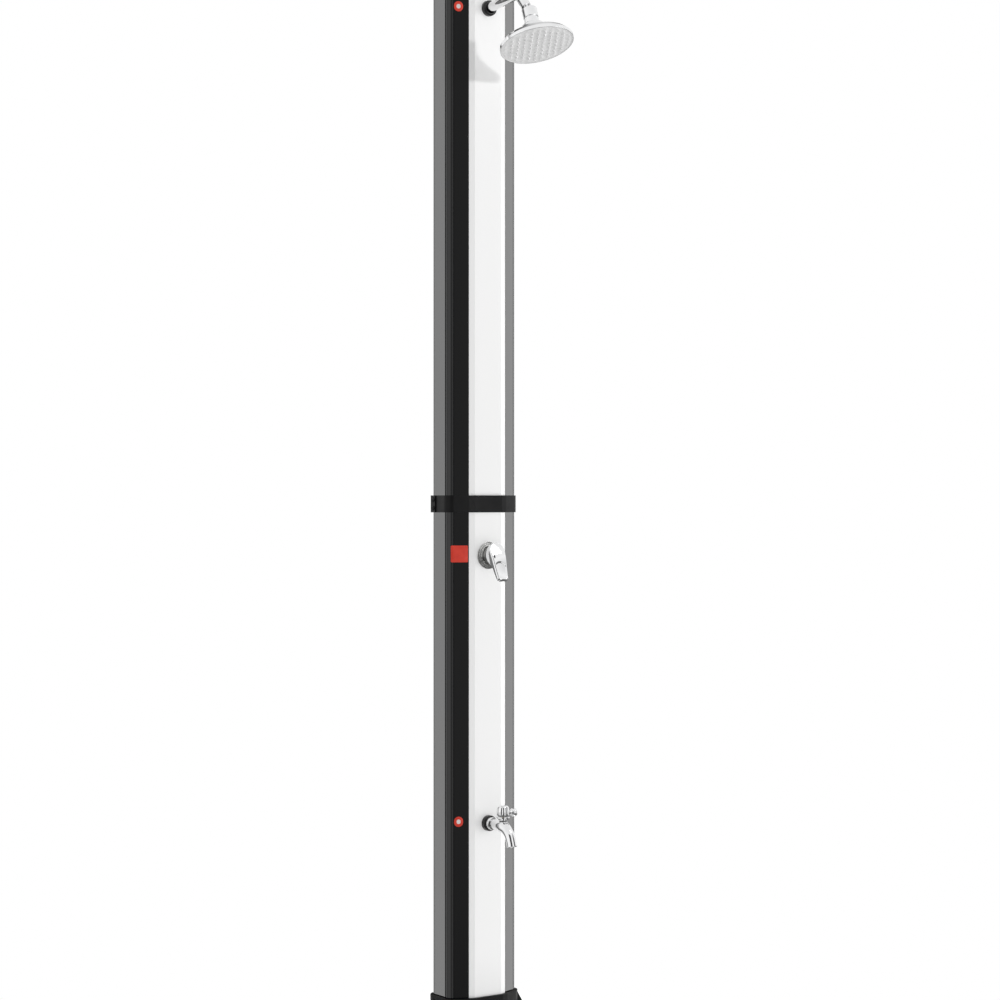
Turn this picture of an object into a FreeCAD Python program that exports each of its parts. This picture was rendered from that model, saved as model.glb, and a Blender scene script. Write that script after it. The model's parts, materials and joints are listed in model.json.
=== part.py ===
import FreeCAD, Part
import math
import os
import re
from Sketcher import Constraint

# Outdoor shower post: a two-part water-filled column on a bolted foot, with a single-lever mixer,
# a foot tap and an arm that carries a round tilting shower head.
# Frame: +Z up, front = -Y, origin at the centre of the foot's underside. Millimetres.

Vector = FreeCAD.Vector
doc = FreeCAD.newDocument("OutdoorShowerPost")
sheet = doc.addObject("Spreadsheet::Sheet", "Sizes")

# ---------------------------------------------------------------- driving dimensions

SIZES = {
    # column section, seen from above; depths are measured back from the front face
    "column_width": 170,
    "column_depth": 88,
    "front_flat_width": 65.4,
    "strip_width": 90.6,
    "strip_edge_drop": 3.6,
    "facet_drop": 20.2,
    "corner_radius": 18,
    "tank_wall": 3,
    # front strip and the channel that holds it
    "channel_depth": 9,
    "channel_lip": 6.6,
    "hook_width": 2,
    "strip_skin": 2,
    "strip_leg": 2.6,
    "slide_fit": 0.2,
    # heights on the column
    "foot_floor": 14,
    "foot_height": 60,
    "joint_height": 1073,
    "column_top": 2150,
    "arm_height": 2093,
    "mixer_height": 967,
    "tap_height": 416,
    "inlet_height": 130,
    "drain_height": 84,
    # foot
    "foot_width": 240,
    "foot_depth": 190,
    "foot_plate": 12,
    "foot_corner": 28,
    "foot_wall": 6,
    "foot_fit": 0.5,
    "foot_chamfer": 3,
    "rib_thickness": 6,
    "anchor_spacing_x": 200,
    "anchor_spacing_y": 140,
    "anchor_hole": 12,
    "foot_drain_hole": 24,
    # end plugs and gaskets of the tanks
    "plug_flange": 4,
    "plug_length": 26,
    "plug_fit": 0.3,
    "plug_wall": 4,
    "gasket_height": 1.5,
    "joint_gap": 1,
    # collar over the joint
    "collar_height": 35,
    "collar_front_wall": 2.8,
    "collar_rear_wall": 5.2,
    "collar_fit": 0.3,
    "collar_split": 18,
    "collar_overlap": 14,
    # top cap
    "cap_wall": 2.6,
    "cap_skirt": 22,
    "cap_roof": 4,
    "cap_rise": 14,
    # screws
    "screw_radius": 2.5,
    "screw_head_radius": 4.5,
    "screw_head_height": 2.4,
    "screw_hole_fit": 0.3,
    # water tubes
    "tube_radius": 8,
    "tube_bore": 6,
    "tube_depth": 36,
    "hot_tube_offset": 52,
    "coupler_radius": 11.5,
    "coupler_length": 44,
    "tube_fit": 0.1,
    "nipple_offset": 42,
    "nipple_radius": 13,
    "nipple_bore": 10,
    "nipple_length": 60,
    # threaded fittings
    "inlet_radius": 10.48,
    "inlet_bore": 7,
    "inlet_reach": 18,
    "inlet_chamfer": 0.8,
    "inlet_nut_radius": 16,
    "inlet_nut_height": 8,
    "washer_height": 2,
    "washer_radius": 15,
    "drain_head_radius": 14,
    "fitting_hub_radius": 15.2,
    "fitting_seat": 12,
    "fitting_socket": 14,
    "fitting_wall": 4,
    # mixer; distances along its axis are measured forwards from the front face
    "mixer_barrel_radius": 22,
    "mixer_barrel_length": 46,
    "mixer_neck_radius": 18,
    "cartridge_radius": 12.5,
    "cartridge_length": 32,
    "mixer_nut_radius": 24,
    "mixer_nut_height": 5.5,
    "rosette_radius": 28,
    "rosette_edge": 3,
    "rosette_step": 2.4,
    "rosette_height": 7.6,
    "lift_pivot": 17,
    "dome_radius": 16,
    "dome_fit": 0.6,
    "dome_opening": 9.6,
    "carrier_radius": 8,
    "stem_width": 7,
    "stem_length": 20,
    "stem_droop": 8,
    "pin_radius": 1.5,
    # lever
    "lever_slope": 26,
    "lever_cap_radius": 20,
    "lever_cap_height": 21.5,
    "lever_back": 2.5,
    "lever_reach": 62,
    "lever_tip_width": 21,
    "lever_root_width": 34,
    "lever_thickness": 7,
    "lever_level": 12,
    "cover_radius": 2.6,
    # shower arm
    "arm_radius": 10.25,
    "arm_wall": 1.6,
    "arm_tail": 27,
    "arm_rise": 6.5,
    "arm_reach": 108,
    "arm_turn": 55,
    "arm_drop": 60,
    "arm_bend": 36,
    "wall_rosette_radius": 16,
    "wall_rosette_height": 11,
    "wall_rosette_round": 3.6,
    # ball joint and shower head; heights along the head's axis from its face
    "ball_radius": 11,
    "seat_wall": 1.5,
    "ball_fit": 0.05,
    "stud_neck_radius": 5,
    "stud_neck": 16,
    "stud_collar": 4,
    "stud_thread": 12,
    "stud_bore": 3,
    "head_tilt": 19.6,
    "head_radius": 75,
    "head_to_ball": 75,
    "head_wall": 2.2,
    "plate_radius": 71.5,
    "plate_thickness": 2,
    "plate_inset": 1,
    "nozzle_radius": 1.5,
    "nozzle_length": 3,
    "nozzle_pitch": 15,
    "mat_thickness": 1.5,
    "swivel_nut_radius": 15.2,
    "neck_radius": 13.2,
    "neck_top": 70,
    # foot tap
    "tap_collar_radius": 12.8,
    "tap_collar_height": 7,
    "tap_tube_radius": 9,
    "tap_bore": 6,
    "tap_stem_ahead": 54,
    "spout_knee": 70,
    "spout_ahead": 82,
    "spout_drop": 38,
    "spout_bend": 22,
    "spout_lip_radius": 10.4,
    "bonnet_radius": 13.2,
    "bonnet_height": 14,
    "bonnet_level": 9.5,
    "spindle_radius": 4,
    "handle_hub_radius": 13,
    "handle_height": 23,
    "handle_reach": 35,
    "handle_gap": 0.6,
}

for row, (alias, value) in enumerate(SIZES.items(), start=1):
    sheet.set(f"A{row}", alias)
    sheet.set(f"B{row}", str(value))
    sheet.setAlias(f"B{row}", alias)
doc.recompute()

FRONT = "(-column_depth/2)"
BACK = "(column_depth/2)"


def bound(text):
    """The text of a size rule with each alias written as a cell of the sheet."""
    def cell(match):
        word = match.group(0)
        return "Sizes." + word if word in SIZES else word
    return re.sub(r"[A-Za-z_][A-Za-z_0-9]*", cell, str(text))


def size(text):
    """The number that a size rule gives now."""
    return float(sheet.evalExpression(bound(text)))


# ---------------------------------------------------------------- drawing helpers

pieces = []


def keep(node, item):
    """Names the finished solid and puts it on the list of sub-parts."""
    item.Label = node
    pieces.append(item)
    return item


def tie(item, **rules):
    """Binds properties to size rules; a double underscore in a name stands for a dot."""
    for name, rule in rules.items():
        item.setExpression(name.replace("__", "."), bound(rule))
    return item


def place(item, x="0", y="0", z="0", axis=None, angle="0"):
    """Puts an item at a point, turned about an axis through that point."""
    if axis is not None:
        item.Placement = FreeCAD.Placement(Vector(0, 0, 0), FreeCAD.Rotation(Vector(*axis), 1))
        tie(item, Placement__Rotation__Angle=angle)
    return tie(item, Placement__Base__x=x, Placement__Base__y=y, Placement__Base__z=z)


def facing_front(item, height, x="0", ahead="0"):
    """Turns an item's own Z towards the front; its origin goes ahead of the front face."""
    return place(item, x, f"{FRONT} - ({ahead})", height, (1, 0, 0), "90")


def facing_back(item, height, x="0", behind="0"):
    """Turns an item's own Z towards the back; its origin goes behind the back face."""
    return place(item, x, f"{BACK} + ({behind})", height, (1, 0, 0), "-90")


def mirrored(half):
    """A closed outline from its right half, which starts and ends beside the axis."""
    left = [(f"-({corner[0]})",) + tuple(corner[1:]) for corner in reversed(half)]
    return list(half) + left


def rectangle(width, depth, radius=None, x="0", y="0"):
    """Four corners round a centre."""
    signs = ((-1, -1), (1, -1), (1, 1), (-1, 1))
    rounding = () if radius is None else (radius,)
    return [(f"{x} + {sx}*({width})/2", f"{y} + {sy}*({depth})/2") + rounding for sx, sy in signs]


def draw(sketch, corners, closed=True):
    """Draws lines through the corners; a third value in a corner is its rounding radius."""
    count = len(corners)
    points = [Vector(size(corner[0]), size(corner[1]), 0) for corner in corners]
    starts, ends, arcs = list(points), list(points), {}
    for i, corner in enumerate(corners):
        if len(corner) < 3:
            continue
        before = (points[i - 1] - points[i]).normalize()
        after = (points[(i + 1) % count] - points[i]).normalize()
        half_angle = before.getAngle(after) / 2
        radius = size(corner[2])
        setback = radius / math.tan(half_angle)
        ends[i] = points[i] + before * setback
        starts[i] = points[i] + after * setback
        bisector = (before + after).normalize()
        middle = points[i] + bisector * (radius / math.sin(half_angle) - radius)
        arcs[i] = Part.Arc(ends[i], middle, starts[i])
    spans = count if closed else count - 1
    lines = [sketch.addGeometry(Part.LineSegment(starts[i], ends[(i + 1) % count])) for i in range(spans)]
    joints, sizes = [], []
    for i, corner in enumerate(corners):
        into = lines[i - 1] if closed or i > 0 else None
        out = lines[i] if i < spans else None
        if i in arcs:
            arc = sketch.addGeometry(arcs[i])
            knot = sketch.addGeometry(Part.Point(points[i]), True)
            first, last = arc_ends(sketch.Geometry[arc], ends[i])
            joints += [
                Constraint("Tangent", into, 2, arc, first), Constraint("Tangent", out, 1, arc, last),
                Constraint("PointOnObject", knot, 1, into), Constraint("PointOnObject", knot, 1, out),
            ]
            sizes.append((Constraint("Radius", arc, size(corner[2])), corner[2]))
            target = (knot, 1)
        elif into is not None:
            target = (into, 2)
            if out is not None:
                joints.append(Constraint("Coincident", into, 2, out, 1))
        else:
            target = (out, 1)
        sizes.append((Constraint("DistanceX", -1, 1, *target, points[i].x), corner[0]))
        sizes.append((Constraint("DistanceY", -1, 1, *target, points[i].y), corner[1]))
    constrain(sketch, joints, sizes)


def arc_ends(arc, start):
    """Which end of an arc lies at the start point, and which is the other."""
    if (arc.StartPoint - start).Length < (arc.EndPoint - start).Length:
        return 1, 2
    return 2, 1


def constrain(sketch, joints, sizes):
    """Adds all constraints at once, then ties each one in the list of (constraint, rule) to its rule."""
    first = sketch.ConstraintCount + len(joints)
    sketch.addConstraint(joints + [constraint for constraint, rule in sizes])
    for index, (constraint, rule) in enumerate(sizes, start=first):
        sketch.setExpression(f"Constraints[{index}]", bound(rule))


def draw_circle(sketch, radius, x="0", y="0"):
    """Draws a circle whose radius and centre follow size rules."""
    centre = Vector(size(x), size(y), 0)
    circle = sketch.addGeometry(Part.Circle(centre, Vector(0, 0, 1), size(radius)))
    constrain(sketch, [], [
        (Constraint("Radius", circle, size(radius)), radius),
        (Constraint("DistanceX", -1, 1, circle, 3, centre.x), x),
        (Constraint("DistanceY", -1, 1, circle, 3, centre.y), y),
    ])


class Piece:
    """A body that is built up feature by feature."""

    def __init__(self, name):
        self.body = doc.addObject("PartDesign::Body", name)
        self.body.Label = name + "_body"
        self.volume = 0

    def sketch(self, plane="XY_Plane", offset="0"):
        """A new sketch on one of the body's own origin planes, moved along its normal."""
        item = self.body.newObject("Sketcher::SketchObject", "Sketch")
        item.AttachmentSupport = [(self.plane(plane), "")]
        item.MapMode = "FlatFace"
        tie(item, AttachmentOffset__Base__z=offset)
        return item

    def plane(self, role):
        return next(item for item in self.body.Origin.OriginFeatures if item.Role == role)

    def shaped(self, kind, profile):
        """Adds a feature made from a profile."""
        feature = self.body.newObject(kind, "Feature")
        feature.Profile = profile
        return feature

    def settle(self, feature, grows):
        """Recomputes, and stops if the feature changed nothing or went the wrong way."""
        self.body.recompute(True)
        volume = feature.Shape.Volume
        if (volume - self.volume) * (1 if grows else -1) <= 0:
            raise ValueError(f"{self.body.Label}: {feature.Name} changes nothing")
        self.volume = volume
        return self

    def pad(self, length, outline=None, circles=(), plane="XY_Plane", offset="0", back=False):
        """Thickens an outline, or circles, from its plane."""
        feature = self.shaped("PartDesign::Pad", self.drawn(outline, circles, plane, offset))
        tie(feature, Length=length)
        feature.Reversed = back
        return self.settle(feature, True)

    def pocket(self, outline=None, circles=(), plane="XY_Plane", offset="0", length=None, up=False):
        """Cuts an outline, or circles, right through, or to a depth from its plane."""
        feature = self.shaped("PartDesign::Pocket", self.drawn(outline, circles, plane, offset))
        if length is None:
            feature.Type = 1
            feature.Midplane = True
        else:
            tie(feature, Length=length)
            feature.Reversed = up
        return self.settle(feature, False)

    def drawn(self, outline, circles, plane, offset):
        """A sketch that holds an outline and circles given as (radius, x, y)."""
        item = self.sketch(plane, offset)
        if outline is not None:
            draw(item, outline)
        for circle in circles:
            draw_circle(item, *circle)
        return item

    def turn(self, profile, grows=True):
        """Turns a profile of (radius, height) corners about the body's Z axis."""
        item = self.sketch("XZ_Plane")
        draw(item, profile)
        feature = self.shaped("PartDesign::Revolution" if grows else "PartDesign::Groove", item)
        feature.ReferenceAxis = (item, ["V_Axis"])
        feature.Angle = 360
        return self.settle(feature, grows)

    def pipe(self, route, radii, grows=True):
        """Sweeps circles along a route of (y, z) corners that leaves the XZ plane squarely."""
        profile = self.sketch("XZ_Plane")
        for radius in radii:
            draw_circle(profile, radius)
        path = self.sketch("YZ_Plane")
        draw(path, route, closed=False)
        feature = self.shaped("PartDesign::AdditivePipe" if grows else "PartDesign::SubtractivePipe", profile)
        feature.Spine = path
        return self.settle(feature, grows)

    def edges(self, pick):
        """The names of the newest feature's edges that a test picks."""
        shape = self.body.Tip.Shape
        return [f"Edge{i}" for i, edge in enumerate(shape.Edges, start=1) if pick(edge)]

    def dress(self, kind, amount, pick):
        """Rounds or chamfers the picked edges."""
        base, names = self.body.Tip, self.edges(pick)
        feature = self.body.newObject(kind, "Feature")
        feature.Base = (base, names)
        tie(feature, **{"Radius" if kind.endswith("Fillet") else "Size": amount})
        self.body.recompute(True)
        self.volume = feature.Shape.Volume
        return self

    def round(self, radius, pick):
        return self.dress("PartDesign::Fillet", radius, pick)

    def chamfer(self, amount, pick):
        return self.dress("PartDesign::Chamfer", amount, pick)


def at_height(rule):
    """Picks the edges that lie wholly at one height of the body."""
    level = size(rule)
    return lambda edge: all(abs(point.z - level) < 0.01 for point in edge.discretize(3))


def upright(edge):
    """Picks the straight edges along the body's Z axis."""
    low, high = edge.BoundBox.ZMin, edge.BoundBox.ZMax
    return edge.BoundBox.XLength + edge.BoundBox.YLength < 0.01 < high - low


def cylinder(name, radius, height):
    return tie(doc.addObject("Part::Cylinder", name), Radius=radius, Height=height)


def box(name, width, depth, height, x, y, z):
    """A block centred on x and y that stands on z."""
    item = tie(doc.addObject("Part::Box", name), Length=width, Width=depth, Height=height)
    return place(item, f"{x} - ({width})/2", f"{y} - ({depth})/2", z)


def cut(name, base, *tools):
    """The base less each of the tools."""
    for tool in tools:
        item = doc.addObject("Part::Cut", name + "_cut")
        item.Base, item.Tool = base, tool
        base = item
    return base


def fuse(name, *items):
    item = doc.addObject("Part::MultiFuse", name + "_fuse")
    item.Shapes = list(items)
    item.Refine = True
    return item


def group(name, items):
    """Separate solids that share one node."""
    item = doc.addObject("Part::Compound", name + "_group")
    item.Links = list(items)
    return item


# ---------------------------------------------------------------- column section

section = doc.addObject("Sketcher::SketchObject", "ColumnSection")
draw(section, mirrored([
    ("front_flat_width/2", FRONT),
    ("strip_width/2", f"{FRONT} + strip_edge_drop"),
    ("column_width/2", f"{FRONT} + facet_drop", "corner_radius"),
    ("column_width/2", BACK, "corner_radius"),
]))


def prism(name, growth, low, high):
    """The column's section, grown by a distance all round, between two heights."""
    base = section
    if growth != "0":
        base = doc.addObject("Part::Offset2D", name + "_outline")
        base.Source = section
        base.Join = 2
        tie(base, Value=growth)
    item = doc.addObject("Part::Extrusion", name)
    item.Base = base
    item.DirMode = "Custom"
    item.Dir = Vector(0, 0, 1)
    item.Solid = True
    tie(item, LengthFwd=f"({high}) - ({low})")
    return place(item, z=low)


def cavity(name, gap, low, high):
    """The water space of a tank, reduced by a gap all round: its front lies behind the channel."""
    inner = prism(name + "_space", f"-(tank_wall + {gap})", low, high)
    front_block = box(
        name + "_front", f"strip_width + 2*(hook_width + tank_wall + {gap})",
        f"2*(channel_depth + tank_wall + {gap})", f"({high}) - ({low}) + 2*tank_wall",
        "0", FRONT, f"({low}) - tank_wall",
    )
    return cut(name, inner, front_block)


def channel(name, gap, low, high):
    """The undercut groove in a tank's front, grown by a gap: a wide floor under two lips."""
    piece = Piece(name)
    piece.pad(f"({high}) - ({low}) + 2", mirrored([
        (f"strip_width/2 + {gap}", f"{FRONT} - 10"),
        (f"strip_width/2 + {gap}", f"{FRONT} + channel_lip"),
        (f"strip_width/2 + hook_width + {gap}", f"{FRONT} + channel_lip"),
        (f"strip_width/2 + hook_width + {gap}", f"{FRONT} + channel_depth + {gap}"),
    ]))
    return place(piece.body, z=f"({low}) - 1")


def rod(name, radius, low, high, x="0", y="0"):
    """An upright round tool between two heights."""
    item = cylinder(name, radius, f"({high}) - ({low})")
    return place(item, x, y, low)


def front_rod(name, radius, height, start, end, x="0"):
    """A round tool along the forward direction, from start to end ahead of the front face."""
    item = cylinder(name, radius, f"({end}) - ({start})")
    return facing_front(item, height, x, start)


def back_rod(name, radius, height, start, end, x="0"):
    """A round tool along the backward direction, from start to end behind the back face."""
    item = cylinder(name, radius, f"({end}) - ({start})")
    return facing_back(item, height, x, start)


def side_rod(name, radius, y, z, start, end, side):
    """A round tool across the column, from start to end, on the right (1) or the left (-1)."""
    item = cylinder(name, radius, f"({end}) - ({start})")
    return place(item, f"{side}*({start})", y, z, (0, 1, 0), f"{side}*90")


# heights where the tanks, plugs and gaskets meet
LOWER_FLANGE = "foot_floor"
LOWER_BOTTOM = "(foot_floor + plug_flange + gasket_height)"
LOWER_TOP = "(joint_height - joint_gap/2 - plug_flange - gasket_height)"
UPPER_BOTTOM = "(joint_height + joint_gap/2 + plug_flange + gasket_height)"
UPPER_TOP = "(column_top - plug_flange - gasket_height)"
TUBE_Y = f"({FRONT} + tube_depth)"
HOLE_FIT = "screw_radius + screw_hole_fit"
ANCHORS = rectangle("anchor_spacing_x", "anchor_spacing_y")


# ---------------------------------------------------------------- foot

def foot():
    """A bolted plate with a raised socket for the column and ribs against it."""
    plate = Piece("foot_plate")
    plate.pad("foot_plate", rectangle("foot_width", "foot_depth", "foot_corner"))
    plate.pocket(circles=[("anchor_hole/2", x, y) for x, y in ANCHORS])
    plate.chamfer("foot_chamfer", lambda edge: at_height("foot_plate")(edge) and not is_round_hole(edge))
    outer = prism("socket_outer", "foot_fit + foot_wall", "0", "foot_height")
    ribs = [rib(side_x, side_y) for side_x in (-1, 1) for side_y in (-1, 1)]
    bottom_drain = rod("foot_drain", "foot_drain_hole/2", "-1", "foot_floor + 1")
    recess = prism("socket_inner", "foot_fit", "foot_floor", "foot_height + 1")
    screws = [foot_screw_hole(side) for side in (-1, 1)]
    body = fuse("foot_body", plate.body, outer, *ribs)
    return keep("foot", cut("foot", body, recess, bottom_drain, *screws))


def is_round_hole(edge):
    return len(edge.Vertexes) == 1


def rib(side_x, side_y):
    """A triangular rib from the socket's side down to the plate, beside an anchor hole."""
    piece = Piece("rib")
    piece.pad("rib_thickness", [
        ("column_width/2 - corner_radius", "foot_plate/2"),
        ("foot_width/2 - foot_chamfer", "foot_plate/2"),
        ("foot_width/2 - foot_chamfer", "foot_plate"),
        ("column_width/2 + foot_wall", "foot_height - 2*foot_chamfer"),
        ("column_width/2 - corner_radius", "foot_height - 2*foot_chamfer"),
    ], plane="XZ_Plane")
    angle = "0" if side_x > 0 else "180"
    shift = "rib_thickness/2" if side_x > 0 else "-rib_thickness/2"
    return place(piece.body, y=f"{side_y}*corner_radius + {shift}", axis=(0, 0, 1), angle=angle)


SCREW_LEVEL = "(foot_floor + plug_flange + gasket_height + plug_length/2)"


def foot_screw_hole(side):
    return side_rod("hole", HOLE_FIT, "0", SCREW_LEVEL, "column_width/2 - plug_length", "foot_width", side)


def foot_screws():
    """Two screws through the socket's sides into the lower end plug."""
    head_seat = "column_width/2 + foot_fit + foot_wall"
    length = "foot_wall + foot_fit + tank_wall + plug_fit + plug_wall"
    screws = [screw("foot_screw", length) for side in (-1, 1)]
    for side, item in zip((-1, 1), screws):
        place(item, f"{side}*({head_seat})", "0", SCREW_LEVEL, (0, 1, 0), f"{side}*90")
    return keep("foot_screws", group("foot_screws", screws))


def screw(name, length, head="screw_head_radius"):
    """A pan-head screw: its shank runs down from the origin and its head stands on it."""
    piece = Piece(name)
    piece.turn([
        ("0", f"-({length})"), ("screw_radius*0.5", f"-({length})"),
        ("screw_radius", f"-({length}) + screw_radius"), ("screw_radius", "0"),
        (head, "0"), (head, "screw_head_height", "screw_head_height/2"), ("0", "screw_head_height"),
    ])
    piece.pocket(rectangle("screw_radius", "screw_radius"), offset="screw_head_height", length="screw_head_height/2")
    return piece.body


# ---------------------------------------------------------------- tanks, plugs and gaskets

def tank(node, low, high, front_holes, back_holes, side_holes=()):
    """A long hollow moulding with the front channel and its fitting holes."""
    shell = prism(node + "_outer", "0", low, high)
    hollow = cavity(node + "_hollow", "0", f"({low}) - 1", f"({high}) + 1")
    groove = channel(node + "_channel", "0", low, high)
    tools = [front_rod("hole", radius, height, "-column_depth/2", "20") for radius, height in front_holes]
    tools += [back_rod("hole", radius, height, "-column_depth/2", "10") for radius, height in back_holes]
    return keep(node, cut(node, shell, hollow, groove, *tools, *side_holes))


def front_strip(node, low, high, holes):
    """The pale cover strip: a shallow channel section whose two legs hook under the tank's lips."""
    piece = Piece(node)
    edge = "strip_width/2 - slide_fit"
    hook = "strip_width/2 + hook_width - slide_fit"
    leg = "strip_width/2 - slide_fit - strip_leg"
    floor = f"{FRONT} + channel_depth - slide_fit"
    piece.pad(f"({high}) - ({low})", mirrored([
        ("front_flat_width/2", FRONT),
        (edge, f"{FRONT} + strip_edge_drop"),
        (edge, f"{FRONT} + channel_lip + slide_fit"),
        (hook, f"{FRONT} + channel_lip + slide_fit"),
        (hook, floor),
        (leg, floor),
        (leg, f"{FRONT} + strip_edge_drop + strip_skin"),
        ("front_flat_width/2", f"{FRONT} + strip_skin"),
    ]))
    place(piece.body, z=low)
    tools = [front_rod("hole", radius, height, "-column_depth/2", "20") for radius, height in holes]
    return keep(node, cut(node, piece.body, *tools))


def end_plug(node, flange_low, inward, tubes=(), blind_holes=()):
    """A moulded plug: a flange on the tank's end and a hollow rim inside it, with tube bosses."""
    up = inward > 0
    flange_high = f"{flange_low} + plug_flange"
    rim_low = flange_high if up else f"{flange_low} - plug_length"
    rim_high = f"{flange_high} + plug_length" if up else flange_low
    flange = prism(node + "_flange", "-plug_fit", flange_low, flange_high)
    rim_start, rim_end = (flange_low, rim_high) if up else (rim_low, flange_high)
    rim = cavity(node + "_rim", "plug_fit", rim_start, rim_end)
    core_low, core_high = (rim_low, f"{rim_high} + 1") if up else (f"{rim_low} - 1", rim_high)
    core = cavity(node + "_core", "(plug_fit + plug_wall)", core_low, core_high)
    bosses = [rod("boss", f"{radius} + plug_wall", rim_low, rim_high, x, TUBE_Y) for x, radius in tubes]
    bores = [rod("bore", radius, f"{rim_low} - 20", f"{rim_high} + 20", x, TUBE_Y) for x, radius in tubes]
    body = cut(node + "_shell", fuse(node + "_solid", flange, rim), core)
    if bosses:
        body = fuse(node + "_body", body, *bosses)
    return keep(node, cut(node, body, *bores, *blind_holes))


def gaskets(node, levels):
    """Two flat gaskets that follow the tank's wall, between a tank's end and its plug's flange."""
    rings = []
    for low in levels:
        high = f"{low} + gasket_height"
        ring = prism("gasket", "-plug_fit", low, high)
        inner = cavity("gasket_inner", "0", f"{low} - 1", f"{high} + 1")
        rings.append(cut("gasket_ring", ring, inner))
    return keep(node, group(node, rings))


# ---------------------------------------------------------------- joint collar and top cap

def collar_half(node, wall, front):
    """Half of the collar round the joint; the rear half is thicker and overlaps the front one."""
    low, high = "joint_height - collar_height/2", "joint_height + collar_height/2"
    outer = prism(node + "_outer", f"collar_fit + {wall}", low, high)
    inner = prism(node + "_inner", "collar_fit", f"{low} - 1", f"{high} + 1")
    split = "collar_split" if front else "-collar_split"
    reach = "column_width + 40"
    middle = f"collar_split + ({reach})/2" if front else f"collar_split - ({reach})/2"
    other = box(node + "_other", reach, reach, "collar_height + 2", "0", middle, f"{low} - 1")
    holes = [collar_hole(side, level) for side in (-1, 1) for level in (-1, 1)]
    return keep(node, cut(node, outer, inner, other, *(holes if not front else [])))


COLLAR_SCREW_Y = "(collar_split + collar_overlap/2)"


def collar_hole(side, level):
    return side_rod(
        "hole", HOLE_FIT, COLLAR_SCREW_Y, f"joint_height + {level}*collar_height/4",
        "column_width/2 - 10", "column_width/2 + 20", side,
    )


def collar_screws():
    """Four screws through the rear half's sides into the tanks' plug flanges."""
    screws = []
    for side in (-1, 1):
        for level in (-1, 1):
            item = screw("collar_screw", "collar_rear_wall + collar_fit + tank_wall + plug_fit + plug_wall")
            place(item, f"{side}*(column_width/2 + collar_fit + collar_rear_wall)", COLLAR_SCREW_Y,
                  f"joint_height + {level}*collar_height/4", (0, 1, 0), f"{side}*90")
            screws.append(item)
    return keep("collar_screws", group("collar_screws", screws))


def tank_screw_holes(level, radius):
    return [
        side_rod("hole", radius, COLLAR_SCREW_Y, f"joint_height + {level}*collar_height/4",
                 "column_width/2 - plug_length", "column_width/2 + 20", side)
        for side in (-1, 1)
    ]


CAP_TOP = "(column_top + cap_roof + cap_rise)"


def top_cap():
    """A cap with a skirt over the upper tank and a roof that is drawn in to a flat top."""
    block = prism("cap_block", "collar_fit + cap_wall", "column_top - cap_skirt", CAP_TOP)
    doc.recompute()
    slope = doc.addObject("Part::Chamfer", "cap_slope")
    slope.Base = block
    slope.Edges = [
        (i, size("cap_rise*0.7"), size("cap_rise"))
        for i, edge in enumerate(block.Shape.Edges, start=1) if at_height(CAP_TOP)(edge)
    ]
    inner = prism("cap_inner", "collar_fit", "column_top - cap_skirt - 1", "column_top")
    holes = [cap_hole(side, HOLE_FIT) for side in (-1, 1)]
    return keep("top_cap", cut("top_cap", slope, inner, *holes))


CAP_SCREW_LEVEL = "(column_top - cap_skirt/2)"


def cap_hole(side, radius):
    return side_rod("hole", radius, "0", CAP_SCREW_LEVEL, "column_width/2 - plug_length",
                    "column_width/2 + 20", side)


def cap_screws():
    """Two screws through the cap's skirt into the upper tank's plug."""
    screws = []
    for side in (-1, 1):
        item = screw("cap_screw", "cap_wall + collar_fit + tank_wall + plug_fit + plug_wall")
        screws.append(place(item, f"{side}*(column_width/2 + collar_fit + cap_wall)", "0", CAP_SCREW_LEVEL,
                            (0, 1, 0), f"{side}*90"))
    return keep("cap_screws", group("cap_screws", screws))


# ---------------------------------------------------------------- inner water ways

def tube(name, low, high, x="0"):
    """An upright length of water tube."""
    piece = Piece(name)
    piece.pad(f"({high}) - ({low})", circles=[("tube_radius",), ("tube_bore",)])
    return place(piece.body, x, TUBE_Y, low)


def fitting(name, arms, height, x="0"):
    """A moulded fitting: round arms from a centre, each with a socket for a tube."""
    ball = doc.addObject("Part::Sphere", name + "_ball")
    tie(ball, Radius="fitting_hub_radius")
    place(ball, x, TUBE_Y, height, (2, 1, 0), "75")
    turns = {"up": ((1, 0, 0), "0"), "down": ((1, 0, 0), "180"), "front": ((1, 0, 0), "90"),
             "front_up": ((1, 0, 0), "90 - arm_rise"), "back": ((1, 0, 0), "-90"), "right": ((0, 1, 0), "90")}
    sleeves, bores = [], []
    for direction, length, radius in arms:
        axis, angle = turns[direction]
        sleeve = cylinder(name + "_arm", f"{radius} + fitting_wall", length)
        sleeves.append(place(sleeve, x, TUBE_Y, height, axis, angle))
        bores.append(place(cylinder(name + "_bore", "tube_bore", length), x, TUBE_Y, height, axis, angle))
        socket = Piece(name + "_socket")
        socket.pad("fitting_socket + 1", circles=[(f"{radius}",)], offset=f"({length}) - fitting_socket")
        bores.append(place(socket.body, x, TUBE_Y, height, axis, angle))
    return keep(name, cut(name, fuse(name + "_body", ball, *sleeves), *bores))


FITTING_ARM = "(fitting_seat + fitting_socket)"
SEAT = "fitting_seat"


def cold_tubes():
    """The cold water tube, from the inlet to the foot tap's tee and on to the mixer."""
    low = tube("cold_tube_low", f"inlet_height + {SEAT}", f"tap_height - {SEAT}")
    high = tube("cold_tube_high", f"tap_height + {SEAT}", MIXER_LOW_PORT)
    return keep("cold_tubes", group("cold_tubes", [low, high]))


ARM_ELBOW_HEIGHT = "(arm_height - tube_depth*tan(arm_rise))"
MIXER_LOW_PORT = "(mixer_height - mixer_barrel_radius - 4)"
MIXER_HIGH_PORT = "(mixer_height + mixer_barrel_radius + 4)"
ELBOW_X = "(-hot_tube_offset)"


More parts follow.
